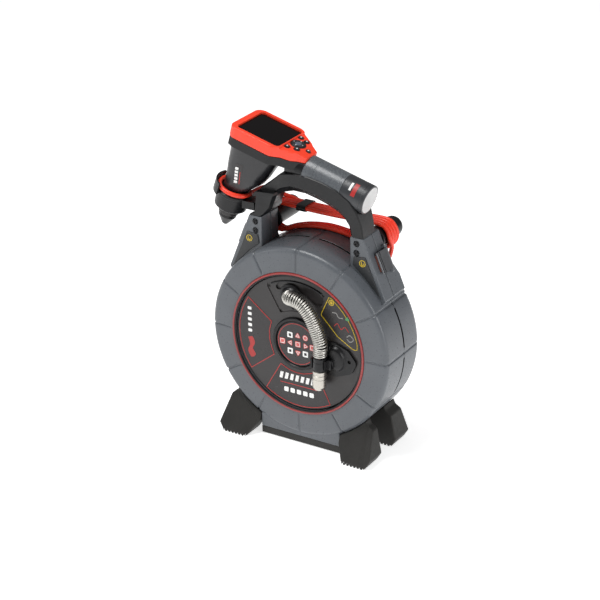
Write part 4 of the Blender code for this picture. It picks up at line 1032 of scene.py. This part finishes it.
def post_panel(side, word):
    """The panel on a post, its screws, and a round mark with a plain sign in it."""
    panel = softened(cad(f"{word}_post_panel"), 0.8)
    piece(f"{word}_post_cover", panel, POST, f"{word}_post_panel", 30)
    for level in SCREW_Z:
        refine(f"{word}_{level}_screw", DARK_STEEL, 0.25, 2)
    x, front = side * 101.5, EAR_FRONT_Y - 1.6
    band(f"{word}_post_mark", disc((x, 325.5), 5.6), 1.3, YELLOW, 0.25, "cover", front)
    sign = [(x - 2.2, 328), (x - 1.0, 328), (x - 1.0, 323.4), (x + 1.0, 323.4), (x + 1.0, 326),
            (x + 2.2, 326), (x + 2.2, 322.2), (x - 2.2, 322.2)]
    piece(f"{word}_post_symbol", prism(sign, front - 0.25, front), YELLOW, "cover")


# ---- inside and back

def bowl():
    """The tub that turns behind the face, with grooves pressed into its outer wall."""
    front, back, wall, outer, hub = FACE_Y + 6.0, 30, 3, BOWL_R, 16
    profile = [(FACE_R - 3.5, front), (outer - 1.2, front), (outer, front + 1.2)]
    for k in range(3):
        middle, floor_r = -30 + 22 * k, outer - 0.9
        profile += [(outer, middle - 3), (floor_r, middle - 1.8), (floor_r, middle + 1.8),
                    (outer, middle + 3)]
    profile += [(outer, back - 1.6), (outer - 1.6, back), (hub, back), (hub, -18), (hub + 4, -18),
                (hub + 4, back - wall), (outer - wall, back - wall), (outer - wall, front + wall),
                (FACE_R - 3.5, front + wall)]
    piece("drum_tub", turned(profile, 144, along_y()), BLACK, "drum_bowl", 30)


def coil():
    """The stored push cable: a square stack of turns, drawn as the outer shape of their round cords."""
    cord_r, first_r, first_y, last = 5.0, 97.0, -29.0, 4
    outline = []
    for quarter, (i, j, step_i, step_j) in enumerate(((last, 0, 0, 1), (last, last, -1, 0),
                                                      (0, last, 0, -1), (0, 0, 1, 0))):
        for k in range(last):
            centre = (first_r + 2 * cord_r * (i + step_i * k), first_y + 2 * cord_r * (j + step_j * k))
            start = 90 * quarter - (180 if k == 0 else 90)
            outline += arc(centre, cord_r - 0.15, start + 4, 90 * quarter + 86, 8)
    piece("push_cable_turns", turned(outline, 96, along_y()), ORANGE, "push_cable_coil", 60)


def back():
    """The cover over the slip rings, with a ridged face and finger notches round its edge."""
    near, shoulder, top = BACK_Y + GAP, 12.2, 13
    profile = measured_from(near, [
        (0, 1.6), (12.6, 1.6), (12.6, 0), (39.4, 0), (40, 0.6), (40, 8), (39.2, 10), (37, shoulder),
        (35.2, top), (30, top), (29.4, shoulder), (27, shoulder), (26.4, top), (0, top)])
    notches = []
    for k in range(12):
        notches.append(cylinder(2.6, near + 5, near + 20, 20, along_y(*polar(40.6, 30 * k + 15))))
    bm = combined(turned(profile, 120, along_y()), notches)
    piece("hub_cap", bm, BLACK, "slip_ring_cover", 30)


def hidden_nodes():
    """CAD nodes that keep their mesh and only take a better surface."""
    looks = dict.fromkeys(("hinge_pin", "drum_axle", "drum_bush", "lcd_panel"), STEEL)
    looks["circuit_board"] = BOARD
    for node, mat in looks.items():
        mesh = frame["nodes"][node].data
        mesh.materials.clear()
        mesh.materials.append(mat)


# ---- everything

HOUSING = finish("housing_plastic", shade(90, 94, 99), 0.32, grain=0.7, depth=0.05, tint=0.05)
BLACK = finish("black_plastic", shade(18, 18, 20), 0.34, grain=0.6, depth=0.05, wear=0.3, specular=0.35)
RUBBER = finish("black_rubber", shade(46, 45, 43), 0.58, grain=1.0, depth=0.12, tint=0.12, wear=0.4,
                specular=0.3)
DRUM = finish("drum_plastic", shade(43, 40, 40), 0.38, depth=0.05, wear=0.3)
POST = finish("post_plastic", shade(42, 44, 46), 0.4, grain=0.6, depth=0.05, wear=0.4)
BARREL = finish("barrel_plastic", shade(88, 92, 96), 0.27, grain=0.6, depth=0.04, tint=0.05, wear=0.3)
BATTERY = finish("battery_plastic", shade(50, 52, 55), 0.36, grain=0.6, depth=0.05, wear=0.3)
NOSE = finish("nose_plastic", shade(32, 32, 35), 0.34, grain=0.6, depth=0.04, tint=0.05, wear=0.3)
KEY = finish("key_plastic", shade(34, 35, 38), 0.4, depth=0.04, wear=0.3)
PAD = finish("pad_plastic", shade(84, 92, 106), 0.32, wear=0.3, coat=0.2)
ORANGE = finish("orange_shell", shade(248, 66, 38), 0.4, tint=0.05, wear=0.25)
CABLE = finish("cable_sheath", shade(244, 62, 38), 0.42, tint=0.07, wear=0)
RING = finish("ring_paint", shade(150, 46, 44), 0.35, grain=0.4, depth=0.02, wear=0.3, coat=0.2)

LABEL = finish("label_film", shade(36, 32, 33), 0.32, grain=0.4, depth=0.0, wear=0)
SILVER = finish("label_silver", shade(196, 196, 196), 0.5, depth=0.01, tint=0.1, wear=0)
RED_LINE = printed("red_print", shade(176, 44, 42))
YELLOW = printed("yellow_print", shade(206, 176, 36))
WHITE = printed("white_print", shade(246, 246, 244), 0.03)
PINK = printed("pink_print", shade(216, 96, 92))
GREEN = printed("green_print", shade(70, 150, 90))
GREY_MARK = printed("grey_print", shade(150, 148, 146))

SCREEN = finish("screen_glass", shade(14, 11, 12), 0.12, grain=2.0, depth=0.0, tint=0.02, wear=0,
                specular=0.1, spread=0.02)
GLASS = finish("lens_glass", shade(26, 28, 34), 0.06, grain=2.0, depth=0.0, tint=0.02, wear=0,
               coat=0.8, spread=0.02)
SPRING = finish("spring_steel", shade(200, 198, 192), 0.36, 1.0, grain=0.4, depth=0.02, tint=0.06, wear=0)
BRIGHT = finish("bright_steel", shade(188, 184, 176), 0.3, 1.0, grain=0.4, depth=0.02, wear=0)
STEEL = finish("steel", shade(168, 168, 168), 0.34, 1.0, grain=0.4, depth=0.02, wear=0)
DARK_STEEL = finish("black_steel", shade(34, 34, 36), 0.4, 0.6, grain=0.4, depth=0.02, wear=0.2)
LEVER = finish("lever_steel", shade(104, 105, 108), 0.36, 0.8, depth=0.02, wear=0.3)
RUST = finish("oxide_steel", shade(128, 74, 62), 0.5, 0.6, depth=0.04, wear=0.2)
BOARD = finish("circuit_green", shade(26, 92, 52), 0.45, depth=0.02, wear=0)

place_camera()
lead()
studio()
front_case()
rear_case()
front_ring()
for side, word in SIDES:
    foot(f"{word}_front", side, -85.0, -41.0, 1.0)
    foot(f"{word}_rear", side, 47.0, 2.0, -0.4)
refine("front_base", RUBBER, 1.2)
refine("rear_base", RUBBER, 1.2)
drum_face()
drum_graphics()
key_island()
camera_and_spring()
camera_holder()
display_surround()
keys()
direction_pad()
grip()
display_back()
handle()
pegs()
dock()
refine("cable_strap", BLACK, 0.7)
for side, word in SIDES:
    latch(side, word)
    post_panel(side, word)
bowl()
coil()
back()
hidden_nodes()
